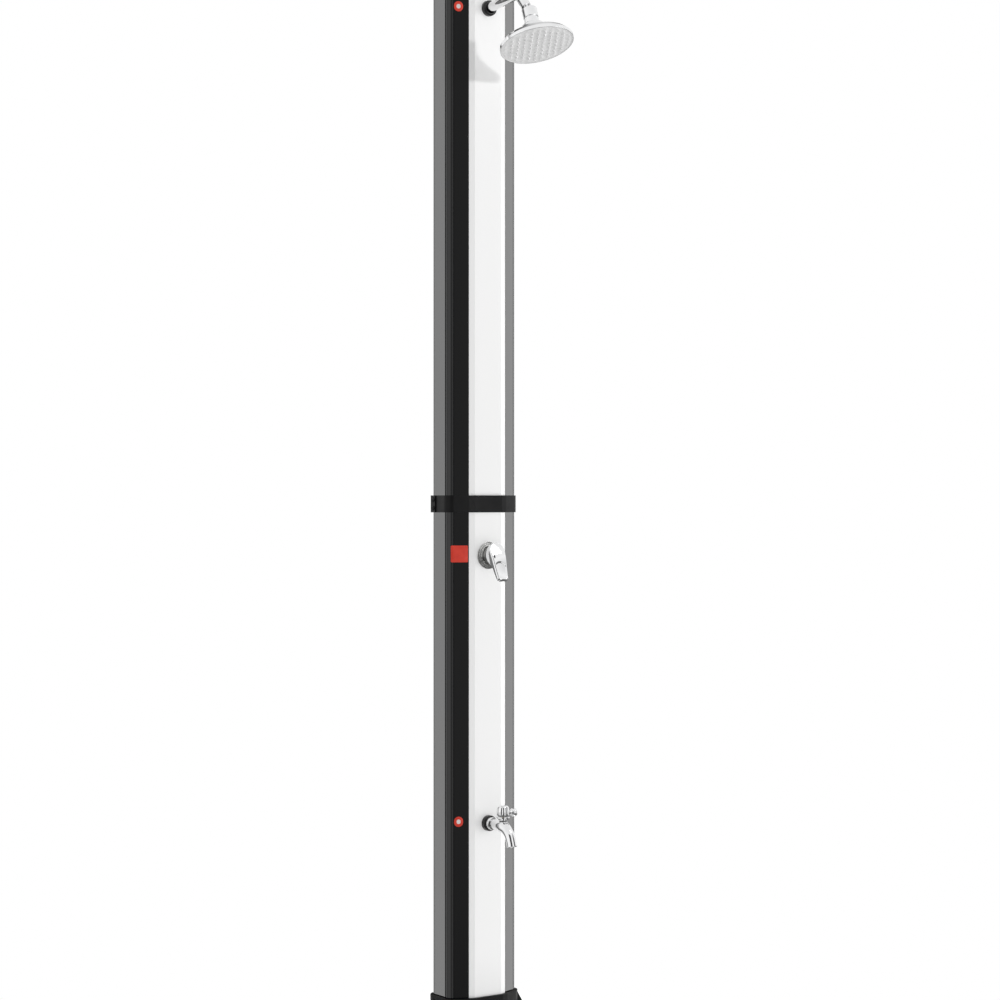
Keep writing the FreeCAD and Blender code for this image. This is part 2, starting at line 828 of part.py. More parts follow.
def hot_tubes():
    """The hot water tube, from near the top of the upper tank down to the mixer's elbow."""
    low = tube("hot_tube_low", f"mixer_height + {SEAT}", COUPLER_MIDDLE, ELBOW_X)
    high = tube("hot_tube_high", COUPLER_MIDDLE + " + 1", "column_top - 60", ELBOW_X)
    return keep("hot_tubes", group("hot_tubes", [low, high]))


def mixed_tubes():
    """The mixed water tube, from the mixer up to the shower arm's elbow."""
    low = tube("mixed_tube_low", MIXER_HIGH_PORT, COUPLER_MIDDLE)
    high = tube("mixed_tube_high", COUPLER_MIDDLE + " + 1", f"{ARM_ELBOW_HEIGHT} - {SEAT}")
    return keep("mixed_tubes", group("mixed_tubes", [low, high]))


COUPLER_LOW = "(joint_height - coupler_length/2)"
COUPLER_MIDDLE = "(joint_height)"


def tube_couplers():
    """Two sleeves that join the hot and mixed tubes where the column comes apart."""
    sleeves = []
    for x in (ELBOW_X, "0"):
        piece = Piece("coupler")
        piece.pad("coupler_length", circles=[("coupler_radius",), ("tube_radius + tube_fit",)])
        sleeves.append(place(piece.body, x, TUBE_Y, COUPLER_LOW))
    return keep("tube_couplers", group("tube_couplers", sleeves))


def tank_nipple():
    """The nipple that lets water pass between the tanks, with a stop ring at its middle."""
    half = "nipple_length/2"
    piece = Piece("tank_nipple")
    piece.turn([
        ("nipple_bore", f"-{half}"), ("nipple_radius", f"-{half}"), ("nipple_radius", "-joint_gap/2"),
        ("nipple_radius + 4", "-joint_gap/2"), ("nipple_radius + 4", "joint_gap/2"),
        ("nipple_radius", "joint_gap/2"), ("nipple_radius", half), ("nipple_bore", half),
    ])
    return keep("tank_nipple", place(piece.body, "nipple_offset", TUBE_Y, "joint_height"))


def hose_inlet():
    """The threaded water inlet at the low back: a bored nipple with a hexagon and a tail inside."""
    piece = Piece("hose_inlet")
    inner_end = "-(tank_wall + fitting_socket)"
    nut_top = "washer_height + inlet_nut_height"
    end = f"{nut_top} + inlet_reach"
    neck = "inlet_radius - inlet_chamfer"
    piece.turn([
        ("inlet_bore", inner_end), ("inlet_radius", inner_end), ("inlet_radius", nut_top),
        (neck, f"{nut_top} + inlet_chamfer"), (neck, f"{nut_top} + 2*inlet_chamfer"),
        ("inlet_radius", f"{nut_top} + 3*inlet_chamfer"), ("inlet_radius", f"{end} - inlet_chamfer"),
        (neck, end), ("inlet_bore", end),
    ])
    return keep("hose_inlet", facing_back(piece.body, "inlet_height"))


def hose_inlet_nut():
    """The hexagon nut that clamps the inlet to the back wall over its washer."""
    return keep("hose_inlet_nut", hex_ring("hose_inlet_nut", "inlet_nut_radius", "inlet_radius",
                                           "inlet_nut_height", "inlet_height", "washer_height"))


def hex_ring(name, across, bore, height, level, behind):
    """A hexagon ring on the back face."""
    piece = Piece(name)
    piece.pad(height, [(f"({across})*cos({60*i})", f"({across})*sin({60*i})") for i in range(6)])
    piece.pocket(circles=[(bore,)])
    return facing_back(piece.body, level, behind=behind)


def rear_washers():
    """Rubber washers under the inlet's nut and the drain plug's head."""
    washers = []
    for level, bore in (("inlet_height", "inlet_radius"), ("drain_height", "inlet_radius")):
        piece = Piece("washer")
        piece.pad("washer_height", circles=[("washer_radius",), (bore,)])
        washers.append(facing_back(piece.body, level))
    return keep("rear_washers", group("rear_washers", washers))


def drain_plug():
    """A plug with a round head and a screwdriver slot, for emptying the column in winter."""
    piece = Piece("drain_plug")
    piece.turn([
        ("0", "-tank_wall - 10"), ("inlet_radius", "-tank_wall - 10"), ("inlet_radius", "washer_height"),
        ("drain_head_radius", "washer_height"), ("drain_head_radius", "washer_height + 6", "1.5"),
        ("0", "washer_height + 6"),
    ])
    piece.pocket(rectangle("drain_head_radius*1.4", "2.5"), offset="washer_height + 6", length="3")
    return keep("drain_plug", facing_back(piece.body, "drain_height"))


def check_valve():
    """The valve that fills the tank from the inlet's tee and holds the warm water back."""
    piece = Piece("check_valve")
    piece.turn([
        ("0", "0"), ("tube_radius", "0"), ("tube_radius", "fitting_socket"), ("tube_radius + 3", "fitting_socket"),
        ("tube_radius + 3", "fitting_socket + 12", "2"), ("0", "fitting_socket + 12"),
    ])
    piece.pocket(circles=[("2", f"5*cos({60*i})", f"5*sin({60*i})") for i in range(6)])
    return keep("check_valve", place(piece.body, SEAT, TUBE_Y, "inlet_height", (0, 1, 0), "90"))


def inlet_tee():
    wall_reach = "column_depth - tube_depth - tank_wall"
    return fitting("inlet_tee", [
        ("up", FITTING_ARM, "tube_radius"), ("back", wall_reach, "inlet_radius"),
        ("right", FITTING_ARM, "tube_radius"),
    ], "inlet_height")


FRONT_ARM = "(tube_depth - channel_depth - tank_wall)"


def tap_tee():
    return fitting("tap_tee", [
        ("up", FITTING_ARM, "tube_radius"), ("down", FITTING_ARM, "tube_radius"),
        ("front", FRONT_ARM, "inlet_radius"),
    ], "tap_height")


def hot_elbow():
    return fitting("hot_elbow", [
        ("up", FITTING_ARM, "tube_radius"), ("right", FITTING_ARM, "tube_radius"),
    ], "mixer_height", ELBOW_X)


def arm_elbow():
    return fitting("arm_elbow", [
        ("down", FITTING_ARM, "tube_radius"), ("front_up", FRONT_ARM + " - 2", "arm_radius"),
    ], ARM_ELBOW_HEIGHT)


# ---------------------------------------------------------------- mixer

INNER_FACE = "(-(channel_depth + tank_wall))"
SHOULDER = f"({INNER_FACE} - gasket_height)"
MIXER_BACK = f"({SHOULDER} - mixer_barrel_length)"
CARTRIDGE_TOP = "4"
NECK_TOP = "2"
CARTRIDGE_BASE = f"({CARTRIDGE_TOP} - cartridge_length)"
PORT_AHEAD = "(-tube_depth)"


def mixer_body():
    """A brass barrel inside the tank, with a neck through the front and three ports."""
    piece = Piece("mixer_barrel")
    piece.turn([
        ("0", MIXER_BACK), ("mixer_barrel_radius", MIXER_BACK, "3"), ("mixer_barrel_radius", SHOULDER),
        ("mixer_neck_radius", SHOULDER), ("mixer_neck_radius", NECK_TOP),
        ("cartridge_radius + tube_fit", NECK_TOP), ("cartridge_radius + tube_fit", CARTRIDGE_BASE),
        ("0", CARTRIDGE_BASE),
    ])
    facing_front(piece.body, "mixer_height")
    sleeve = "tube_radius + fitting_wall"
    sleeve_end = "mixer_barrel_radius + 4 + fitting_socket"
    low = rod("port", sleeve, f"mixer_height - ({sleeve_end})", "mixer_height - mixer_barrel_radius*0.7", "0", TUBE_Y)
    high = rod("port", sleeve, "mixer_height + mixer_barrel_radius*0.7", f"mixer_height + {sleeve_end}", "0", TUBE_Y)
    left = side_rod("port", "tube_radius", TUBE_Y, "mixer_height", "mixer_barrel_radius - 4",
                    f"hot_tube_offset - {SEAT}", -1)
    tools = [
        rod("socket", "tube_radius", f"mixer_height - ({sleeve_end}) - 1", MIXER_LOW_PORT, "0", TUBE_Y),
        rod("socket", "tube_radius", MIXER_HIGH_PORT, f"mixer_height + {sleeve_end} + 1", "0", TUBE_Y),
        rod("bore", "tube_bore", f"{MIXER_LOW_PORT} - 1", "mixer_height - 6", "0", TUBE_Y),
        rod("bore", "tube_bore", "mixer_height + 6", f"{MIXER_HIGH_PORT} + 1", "0", TUBE_Y),
        side_rod("bore", "tube_bore", TUBE_Y, "mixer_height", "7", "hot_tube_offset", -1),
    ]
    for x, rise in (("0", "10"), ("0", "-10"), ("-10", "0")):
        tools.append(front_rod("way", "2", f"mixer_height + {rise}", PORT_AHEAD, f"{CARTRIDGE_BASE} + 1", x))
    body = fuse("mixer_solid", piece.body, low, high, left)
    return keep("mixer_body", cut("mixer_body", body, *tools))


def front_ring(node, profile, height="mixer_height"):
    """A turned ring whose heights are measured ahead of the front face."""
    piece = Piece(node)
    piece.turn(profile)
    return keep(node, facing_front(piece.body, height))


def ring(inner, outer, low, high):
    """The four corners of a plain ring's profile."""
    return [(inner, low), (outer, low), (outer, high), (inner, high)]


def mixer_rosette():
    """The chrome cover ring, stepped twice towards the dome."""
    bore = "mixer_neck_radius + 0.3"
    second = "rosette_radius - 1.2*rosette_step"
    third = "rosette_radius - 2.4*rosette_step"
    return front_ring("mixer_rosette", [
        (bore, "0"), ("rosette_radius", "0"), ("rosette_radius", "rosette_edge", "1.5"),
        (second, "rosette_edge"), (second, "rosette_edge + rosette_step", "0.8"),
        (third, "rosette_edge + rosette_step"), (third, "rosette_height", "0.8"), (bore, "rosette_height"),
    ])


def mixer_cartridge():
    """The cartridge: a cylinder with a recess for the carrier that turns in its top."""
    recess = "carrier_radius + dome_fit/2"
    return front_ring("mixer_cartridge", [
        ("0", CARTRIDGE_BASE), ("cartridge_radius", CARTRIDGE_BASE), ("cartridge_radius", CARTRIDGE_TOP),
        (recess, CARTRIDGE_TOP), (recess, "0"), ("0", "0"),
    ])


def at_pivot(item):
    """Puts an item at the centre of the ball-shaped dome, its Z forwards."""
    return facing_front(item, "mixer_height", ahead="lift_pivot")


def dome_ball(name, radius):
    item = doc.addObject("Part::Sphere", name)
    return at_pivot(tie(item, Radius=radius))


def cartridge_nut():
    """The chrome dome nut over the cartridge: a short skirt, then a ball with a round opening."""
    wall = "(dome_radius - cartridge_radius - 0.5)"
    skirt = front_rod("nut_skirt", "dome_radius + 1.6", "mixer_height", NECK_TOP, "lift_pivot/2")
    outer = fuse("nut_solid", skirt, dome_ball("nut_ball", "dome_radius"))
    inner_ball = dome_ball("nut_inner", f"dome_radius - {wall}")
    inner = front_rod("nut_bore", f"dome_radius - {wall}", "mixer_height", "-5", "lift_pivot")
    opening = front_rod("nut_opening", "dome_opening", "mixer_height", "lift_pivot", "lift_pivot + 30")
    behind = front_rod("nut_below", "60", "mixer_height", f"{NECK_TOP} - 60", NECK_TOP)
    return keep("cartridge_nut", cut("cartridge_nut", outer, inner_ball, inner, opening, behind))


def cartridge_carrier():
    """The round carrier that turns in the cartridge and holds the lever's stem in a fork."""
    piece = Piece("carrier")
    piece.pad("lift_pivot + 3 - 0.2", circles=[("carrier_radius",)], offset="0.2")
    piece.pocket(rectangle("stem_width + 2*tube_fit", "3*carrier_radius"), offset="lift_pivot + 4",
                 length="12")
    facing_front(piece.body, "mixer_height")
    pin_hole = side_rod("pin_hole", "pin_radius", PIVOT_Y, "mixer_height", "-carrier_radius - 1",
                        "carrier_radius + 1", 1)
    return keep("cartridge_carrier", cut("cartridge_carrier", piece.body, pin_hole))


PIVOT_Y = f"({FRONT} - lift_pivot)"


def stem_pin():
    pin = side_rod("pin", "pin_radius", PIVOT_Y, "mixer_height", "-carrier_radius + 0.3",
                   "carrier_radius - 0.3", 1)
    return keep("stem_pin", pin)


def on_pivot(item, tilt):
    """Puts an item on the lift axis with its own Z tilted up from straight forwards."""
    return place(item, "0", PIVOT_Y, "mixer_height", (1, 0, 0), f"90 - ({tilt})")


def stem_block(name, width, low, high):
    piece = Piece(name)
    piece.pad(f"({high}) - ({low})", rectangle(width, width), offset=low)
    return on_pivot(piece.body, "-stem_droop")


def cartridge_stem():
    """The square stem that tips on its pin and carries the lever."""
    block = stem_block("stem_block", "stem_width", "-5", "stem_length")
    hole = side_rod("pin_hole", "pin_radius + ball_fit", PIVOT_Y, "mixer_height", "-10", "10", 1)
    return keep("cartridge_stem", cut("cartridge_stem", block, hole))


def mixer_lever():
    """The lever: a domed cap over the ball, run out into a tapered paddle that leans forwards."""
    cap = Piece("lever_cap")
    cap.turn([
        ("0", "-4"), ("lever_cap_radius", "-4"), ("lever_cap_radius", "lever_cap_height - 5", "5"),
        ("lever_cap_radius*0.45", "lever_cap_height", "16"), ("0", "lever_cap_height"),
    ])
    on_pivot(cap.body, "lever_slope")
    paddle = Piece("lever_paddle")
    paddle.pad("lever_thickness", [
        ("lever_root_width/2", "0"), ("-lever_root_width/2", "0"),
        ("-lever_tip_width/2", "-lever_reach", "lever_tip_width*0.4"),
        ("lever_tip_width/2", "-lever_reach", "lever_tip_width*0.4"),
    ], offset="lever_level - lever_thickness/2")
    paddle.round("lever_thickness*0.3", lambda edge: not upright(edge))
    on_pivot(paddle.body, "lever_slope")
    ball = dome_ball("lever_hollow", "dome_radius + dome_fit")
    front_limit = "lift_pivot + lever_back"
    behind = front_rod("lever_behind", "90", "mixer_height", f"{front_limit} - 60", front_limit)
    socket = stem_block("stem_socket", "stem_width", "0", "stem_length")
    screw_way = place(cylinder("screw_way", "cover_radius", "30"), "-cover_radius*1.5", PIVOT_Y,
                      "mixer_height", (1, 0, 0), f"90 - lever_slope")
    limit = stem_block("screw_limit", "40", "-40", "stem_length")
    way = cut("screw_way_cut", screw_way, limit)
    body = fuse("lever_solid", cap.body, paddle.body)
    return keep("mixer_lever", cut("mixer_lever", body, ball, behind, socket, way))


# ---------------------------------------------------------------- shower arm and head

BALL_AHEAD = "(arm_reach*cos(arm_rise) + arm_drop*cos(arm_turn - arm_rise))"
BALL_Y = f"({FRONT} - {BALL_AHEAD})"
BALL_Z = "(arm_height + arm_reach*sin(arm_rise) - arm_drop*sin(arm_turn - arm_rise))"


def shower_arm():
    """A bent chrome tube: a rising run, one bend, and a run down to the ball stud."""
    run = "(arm_drop - stud_neck - stud_collar)"
    knee = "(arm_tail + arm_reach)"
    route = [("0", "0"), (f"-{knee}", "0", "arm_bend"),
             (f"-({knee} + {run}*cos(arm_turn))", f"-{run}*sin(arm_turn)")]
    piece = Piece("shower_arm")
    piece.pipe(route, ["arm_radius", "arm_radius - arm_wall"])
    place(piece.body, "0", f"{FRONT} + arm_tail*cos(arm_rise)", "arm_height - arm_tail*sin(arm_rise)",
          (1, 0, 0), "-arm_rise")
    return keep("shower_arm", piece.body)


def wall_rosette(node, height, tilt, bore):
    """The domed black ring where a chrome tube leaves the column."""
    piece = Piece(node)
    piece.turn([
        (bore, "0"), ("wall_rosette_radius", "0"),
        ("wall_rosette_radius", "wall_rosette_height", "wall_rosette_round"),
        (bore, "wall_rosette_height"),
    ])
    facing_front(piece.body, height)
    return keep(node, piece.body)


def along_arm(item):
    """Puts an item on the ball's centre, its Z pointing down along the arm's last run."""
    return place(item, "0", BALL_Y, BALL_Z, (1, 0, 0), "90 + arm_turn - arm_rise")


def ball_stud():
    """The ball on its bored stud, which screws into the arm's end."""
    stud = Piece("stud")
    stud.turn([
        ("0", "0"), ("stud_neck_radius", "0"), ("stud_neck_radius", "-stud_neck"),
        ("arm_radius", "-stud_neck"), ("arm_radius", "-(stud_neck + stud_collar)"),
        ("arm_radius - arm_wall", "-(stud_neck + stud_collar)"),
        ("arm_radius - arm_wall", "-(stud_neck + stud_collar + stud_thread)"),
        ("0", "-(stud_neck + stud_collar + stud_thread)"),
    ])
    ball = along_arm(tie(doc.addObject("Part::Sphere", "ball"), Radius="ball_radius"))
    bore = cylinder("stud_bore", "stud_bore", "80")
    bore = place(bore, "0", f"{BALL_Y} + 40*cos(arm_turn - arm_rise)", f"{BALL_Z} + 40*sin(arm_turn - arm_rise)",
                 (1, 0, 0), "90 + arm_turn - arm_rise")
    return keep("ball_stud", cut("ball_stud", fuse("stud_solid", along_arm(stud.body), ball), bore))


def on_head(item, rise="0"):
    """Puts an item on the head's axis, at a distance above the centre of its face."""
    reach = f"(head_to_ball - ({rise}))"
    return place(item, "0", f"{BALL_Y} - {reach}*sin(head_tilt)", f"{BALL_Z} - {reach}*cos(head_tilt)",
                 (1, 0, 0), "-head_tilt")


def head_ball(name, radius):
    item = doc.addObject("Part::Sphere", name)
    return on_head(tie(item, Radius=radius), "head_to_ball")


SEAT_INNER = "(ball_radius + ball_fit)"
SEAT_OUTER = "(ball_radius + ball_fit + seat_wall)"


def ball_seat():
    """The slippery ring round the ball: a band of a ball-shaped shell."""
    band = on_head(cylinder("seat_band", "ball_radius*2", "ball_radius"), "head_to_ball - ball_radius*0.55")
    shell = cut("seat_shell", head_ball("seat_outer", SEAT_OUTER), head_ball("seat_inner", SEAT_INNER))
    item = doc.addObject("Part::Common", "seat_common")
    item.Base, item.Tool = shell, band
    return keep("ball_seat", item)


def swivel_nut():
    """The nut that holds the ball in the head's neck."""
    low, high = "neck_top - 8", "head_to_ball + 8"
    grip = Piece("swivel_nut")
    grip.turn([
        ("0", low), ("swivel_nut_radius", low, "0.8"), ("swivel_nut_radius", high, "1.6"), ("0", high),
    ])
    bore = on_head(cylinder("nut_neck", "neck_radius", "8"), low)
    room = head_ball("nut_room", f"{SEAT_OUTER} + ball_fit")
    return keep("swivel_nut", cut("swivel_nut", on_head(grip.body), bore, room))


def head_shell():
    """The bell-shaped shell: a rim, a shallow dome, a step and a slender neck with a ball cup."""
    bell = Piece("bell")
    bell.turn([
        ("plate_radius + 0.2", "0"), ("head_radius", "0", "1"), ("head_radius", "7.5", "3"),
        ("head_radius*0.88", "17", "6"), ("head_radius*0.3", "40", "5"), ("head_radius*0.29", "45.5", "1.5"),
        ("neck_radius + 3", "47"), ("neck_radius + 1", "neck_top - 8.5"),
        ("neck_radius", "neck_top - 8.5"), ("neck_radius", "neck_top"), ("stud_neck_radius", "neck_top"),
        ("stud_neck_radius", "neck_top - 24"), ("head_radius*0.86", "15.2", "5"), ("head_radius - head_wall", "6.5"),
        ("head_radius - head_wall", "plate_inset + plate_thickness + mat_thickness"),
        ("plate_radius + 0.2", "plate_inset + plate_thickness + mat_thickness"),
    ])
    cup = head_ball("cup", f"{SEAT_OUTER} + ball_fit")
    return keep("head_shell", cut("head_shell", on_head(bell.body), cup))


def nozzle_places():
    """Rings of nozzles: one in the middle, then six more in each ring than in the last."""
    yield "0", "0"
    for step in range(1, 5):
        for i in range(6 * step):
            angle = 60 * i / step
            yield f"{step}*nozzle_pitch*cos({angle})", f"{step}*nozzle_pitch*sin({angle})"


def nozzle_plate():
    """The face plate, pierced for the nozzles."""
    piece = Piece("nozzle_plate")
    piece.pad("plate_thickness", circles=[("plate_radius",)], offset="plate_inset")
    piece.pocket(circles=[("nozzle_radius + tube_fit", x, y) for x, y in nozzle_places()])
    return keep("nozzle_plate", on_head(piece.body))


def nozzle_mat():
    """The rubber mat behind the plate, whose nozzles stand out through it."""
    back = "plate_inset + plate_thickness"
    piece = Piece("nozzle_mat")
    piece.pad("mat_thickness", circles=[("plate_radius",)], offset=back)
    piece.pad(f"{back} + plate_inset/2", circles=[("nozzle_radius", x, y) for x, y in nozzle_places()],
              offset="-plate_inset/2")
    return keep("nozzle_mat", on_head(piece.body))


# ---------------------------------------------------------------- foot tap

TAP_TAIL = "(tube_depth - (tube_depth - channel_depth - tank_wall - fitting_socket))"
STEM_Y = f"({FRONT} - tap_stem_ahead)"


def tap_body():
    """The cast tap: a threaded tail, a collar, a round barrel that bends down into the spout."""
    tail = front_rod("tap_tail", "inlet_radius", "tap_height", f"-{TAP_TAIL}", "wall_rosette_height")
    collar = front_rod("tap_collar", "tap_collar_radius", "tap_height", "wall_rosette_height",
                       "wall_rosette_height + tap_collar_height")
    barrel = Piece("tap_barrel")
    end = (f"-({TAP_TAIL} + spout_ahead)", "-spout_drop")
    route = [("0", "0"), (f"-({TAP_TAIL} + spout_knee)", "0", "spout_bend"), end]
    barrel.pipe(route, ["tap_tube_radius"])
    bore = Piece("tap_way")
    bore.pipe(route, ["tap_bore"])
    for part in (barrel, bore):
        place(part.body, "0", f"{FRONT} + {TAP_TAIL}", "tap_height")
    stem = rod("tap_stem", "tap_tube_radius - 0.5", "tap_height", "tap_height + bonnet_level", "0", STEM_Y)
    seat = rod("tap_seat", "spindle_radius + 0.3", "tap_height", "tap_height + bonnet_level + 1", "0", STEM_Y)
    solid = fuse("tap_solid", tail, collar, barrel.body, stem)
    return keep("tap_body", cut("tap_body", solid, bore.body, seat))


def on_stem(piece):
    return place(piece.body, "0", STEM_Y, "tap_height")


def tap_bonnet():
    """The cup-shaped bonnet over the valve, wider at the top."""
    piece = Piece("tap_bonnet")
    top = "bonnet_level + bonnet_height"
    piece.turn([
        ("spindle_radius + 0.3", "bonnet_level"), ("tap_tube_radius - 0.5", "bonnet_level"),
        ("bonnet_radius", "bonnet_level + bonnet_height*0.6", "3"), ("bonnet_radius", top, "1"),
        ("spindle_radius + 0.3", top),
    ])
    return keep("tap_bonnet", on_stem(piece))


def tap_spindle():
    """The quarter-turn spindle, from the valve up into the handle."""
    piece = Piece("tap_spindle")
    piece.pad(f"{HANDLE_LOW} + 9 - 4", circles=[("spindle_radius",)], offset="4")
    return keep("tap_spindle", on_stem(piece))


HANDLE_LOW = "(bonnet_level + bonnet_height + handle_gap)"
HANDLE_TOP = f"({HANDLE_LOW} + handle_height)"


def tap_handle():
    """The lever handle: a domed hub on the spindle, a short neck and a round grip to one side."""
    hub = Piece("handle_hub")
    hub.turn([
        ("0", HANDLE_LOW), ("handle_hub_radius*0.86", HANDLE_LOW),
        ("handle_hub_radius", f"{HANDLE_LOW} + handle_height*0.45", "12"),
        ("handle_hub_radius*0.72", HANDLE_TOP, "5"), ("0", HANDLE_TOP),
    ])
    hub.pocket(circles=[("spindle_radius",)], offset=HANDLE_LOW, length="9", up=True)
    grip = Piece("handle_grip")
    grip.turn([
        ("0", "0"), ("3.4", "0"), ("3.4", "handle_reach - 13", "1.5"), ("8.6", "handle_reach - 9", "1.5"),
        ("8.6", "handle_reach - 3", "2"), ("3", "handle_reach"), ("0", "handle_reach"),
    ])
    place(grip.body, "0", STEM_Y, f"tap_height + {HANDLE_LOW} + handle_height*0.45", (0, 1, 0), "90")
    on_stem(hub)
    bore = rod("handle_bore", "spindle_radius", f"tap_height + {HANDLE_LOW} - 1",
               f"tap_height + {HANDLE_LOW} + 9", "0", STEM_Y)
    return keep("tap_handle", cut("tap_handle", fuse("handle_solid", hub.body, grip.body), bore))


# ---------------------------------------------------------------- build

FRONT_HOLES_LOWER = [("mixer_neck_radius + tube_fit", "mixer_height"), ("inlet_radius + tube_fit", "tap_height")]
BACK_HOLES_LOWER = [("inlet_radius + tube_fit", "inlet_height"), ("inlet_radius", "drain_height")]
FRONT_HOLES_UPPER = [("arm_radius + 2", "arm_height")]

foot()
foot_screws()
tank("lower_tank", LOWER_BOTTOM, LOWER_TOP, FRONT_HOLES_LOWER, BACK_HOLES_LOWER,
     [foot_screw_hole(side) for side in (-1, 1)] + tank_screw_holes(-1, HOLE_FIT))
tank("upper_tank", UPPER_BOTTOM, UPPER_TOP, FRONT_HOLES_UPPER, [],
     tank_screw_holes(1, HOLE_FIT) + [cap_hole(side, HOLE_FIT) for side in (-1, 1)])
front_strip("lower_front_strip", LOWER_BOTTOM, LOWER_TOP,
            [("mixer_nut_radius + 1", "mixer_height"), ("inlet_radius + 0.5", "tap_height")])
front_strip("upper_front_strip", UPPER_BOTTOM, UPPER_TOP, FRONT_HOLES_UPPER)
WATER_TUBES = [(ELBOW_X, "coupler_radius"), ("0", "coupler_radius"), ("nipple_offset", "nipple_radius")]
end_plug("lower_tank_bottom_plug", LOWER_FLANGE, 1,
         blind_holes=[side_rod("hole", "screw_radius", "0", SCREW_LEVEL, "column_width/2 - 15", "foot_width", side)
                      for side in (-1, 1)])
end_plug("lower_tank_top_plug", f"({LOWER_TOP} + gasket_height)", -1, WATER_TUBES,
         tank_screw_holes(-1, "screw_radius"))
end_plug("upper_tank_bottom_plug", f"({UPPER_BOTTOM} - gasket_height - plug_flange)", 1, WATER_TUBES,
         tank_screw_holes(1, "screw_radius"))
end_plug("upper_tank_top_plug", f"({UPPER_TOP} + gasket_height)", -1,
         blind_holes=[cap_hole(side, "screw_radius") for side in (-1, 1)])
gaskets("lower_tank_gaskets", [f"({LOWER_BOTTOM} - gasket_height)", LOWER_TOP])
gaskets("upper_tank_gaskets", [f"({UPPER_BOTTOM} - gasket_height)", UPPER_TOP])
collar_half("collar_front", "collar_front_wall", True)
collar_half("collar_rear", "collar_rear_wall", False)
collar_screws()
top_cap()
cap_screws()
tank_nipple()
tube_couplers()
cold_tubes()
hot_tubes()
mixed_tubes()
inlet_tee()
tap_tee()
hot_elbow()
arm_elbow()
check_valve()
hose_inlet()
hose_inlet_nut()
rear_washers()
drain_plug()
mixer_body()
front_ring("mixer_gasket", ring("mixer_neck_radius", "mixer_barrel_radius", SHOULDER, INNER_FACE))
front_ring("mixer_nut", ring("mixer_neck_radius", "mixer_nut_radius", "-channel_depth",
                             "-channel_depth + mixer_nut_height"))
mixer_rosette()
mixer_cartridge()
cartridge_nut()
cartridge_carrier()
stem_pin()
cartridge_stem()
mixer_lever()
wall_rosette("arm_rosette", "arm_height", "arm_rise", "arm_radius + 1.3")
wall_rosette("tap_rosette", "tap_height", "0", "inlet_radius + tube_fit")
shower_arm()
ball_stud()
ball_seat()
swivel_nut()
head_shell()
nozzle_plate()
nozzle_mat()
tap_body()
tap_bonnet()
tap_spindle()
tap_handle()

doc.recompute()
for item in doc.Objects:
    if "Invalid" in item.State or "Error" in item.State:
        raise ValueError(f"{item.Label}: {item.State}")
for item in pieces:
    if item.Shape.isNull() or not item.Shape.isValid() or not item.Shape.Solids:
        raise ValueError(f"{item.Label}: no valid solid")

os.makedirs("parts", exist_ok=True)
for item in pieces:
    item.Shape.exportStep(f"parts/{item.Label}.step")
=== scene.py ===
import json
import math

import bmesh
import bpy
import numpy as np
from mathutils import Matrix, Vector


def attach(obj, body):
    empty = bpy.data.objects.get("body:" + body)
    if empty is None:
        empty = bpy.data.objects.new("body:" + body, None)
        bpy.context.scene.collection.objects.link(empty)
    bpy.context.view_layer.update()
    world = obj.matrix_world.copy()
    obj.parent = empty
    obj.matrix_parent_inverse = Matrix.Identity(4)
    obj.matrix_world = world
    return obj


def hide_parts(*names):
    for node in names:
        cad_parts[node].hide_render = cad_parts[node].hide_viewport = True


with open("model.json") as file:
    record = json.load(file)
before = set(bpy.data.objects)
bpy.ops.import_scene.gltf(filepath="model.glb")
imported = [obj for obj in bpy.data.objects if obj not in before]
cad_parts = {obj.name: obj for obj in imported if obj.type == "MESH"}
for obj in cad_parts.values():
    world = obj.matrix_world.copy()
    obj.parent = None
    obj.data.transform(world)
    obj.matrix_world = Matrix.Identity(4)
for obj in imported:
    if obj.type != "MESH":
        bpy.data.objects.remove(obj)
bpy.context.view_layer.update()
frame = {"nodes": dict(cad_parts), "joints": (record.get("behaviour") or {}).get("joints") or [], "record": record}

MM = 0.001
MICRON = 0.000001
FULL_TURN = 2 * math.pi
# The radius of a ring that tidy_mesh then closes to one point.
POLE = 0.0005 * MM

# Places on the post, in metres. Z is up and the front faces -Y.
JOINT_PLACES = {joint["name"]: np.array(joint["pos_m"]) for joint in frame["joints"]}
FRONT_Y = -0.044
BACK_Y = 0.044
LEVER_PIVOT = JOINT_PLACES["mixer_lift"]
MIXER_Z = LEVER_PIVOT[2]
LEVER_SLOPE = math.radians(26)
BALL = JOINT_PLACES["head_tilt"]
HEAD_LEAN = math.radians(19.6)
FACE_TO_BALL = 0.075
TAP_STEM_Y = JOINT_PLACES["tap_turn"][1]
TAP_Z = 0.416
INLET_Z = 0.130


# ---------------------------------------------------------------- materials

WHITE = (1, 1, 1, 1)
# How a pattern is drawn out along X, Y and Z.
ROUND = (1, 1, 1)
UPRIGHT = (1, 1, 0.05)
TURNED = (1, 12, 1)


def node(tree, kind, **inputs):
    """A shader node with some of its input sockets set."""
    made = tree.nodes.new(kind)
    for name, value in inputs.items():
        made.inputs[name.replace("_", " ")].default_value = value
    return made


def clouds(tree, place, scale, detail, stretch):
    """A noise pattern in object space, drawn out along the axes given."""
    mapping = tree.nodes.new("ShaderNodeMapping")
    mapping.inputs["Scale"].default_value = stretch
    tree.links.new(place.outputs["Object"], mapping.inputs["Vector"])
    noise = node(tree, "ShaderNodeTexNoise", Scale=scale, Detail=detail)
    tree.links.new(mapping.outputs["Vector"], noise.inputs["Vector"])
    return noise.outputs["Fac"]


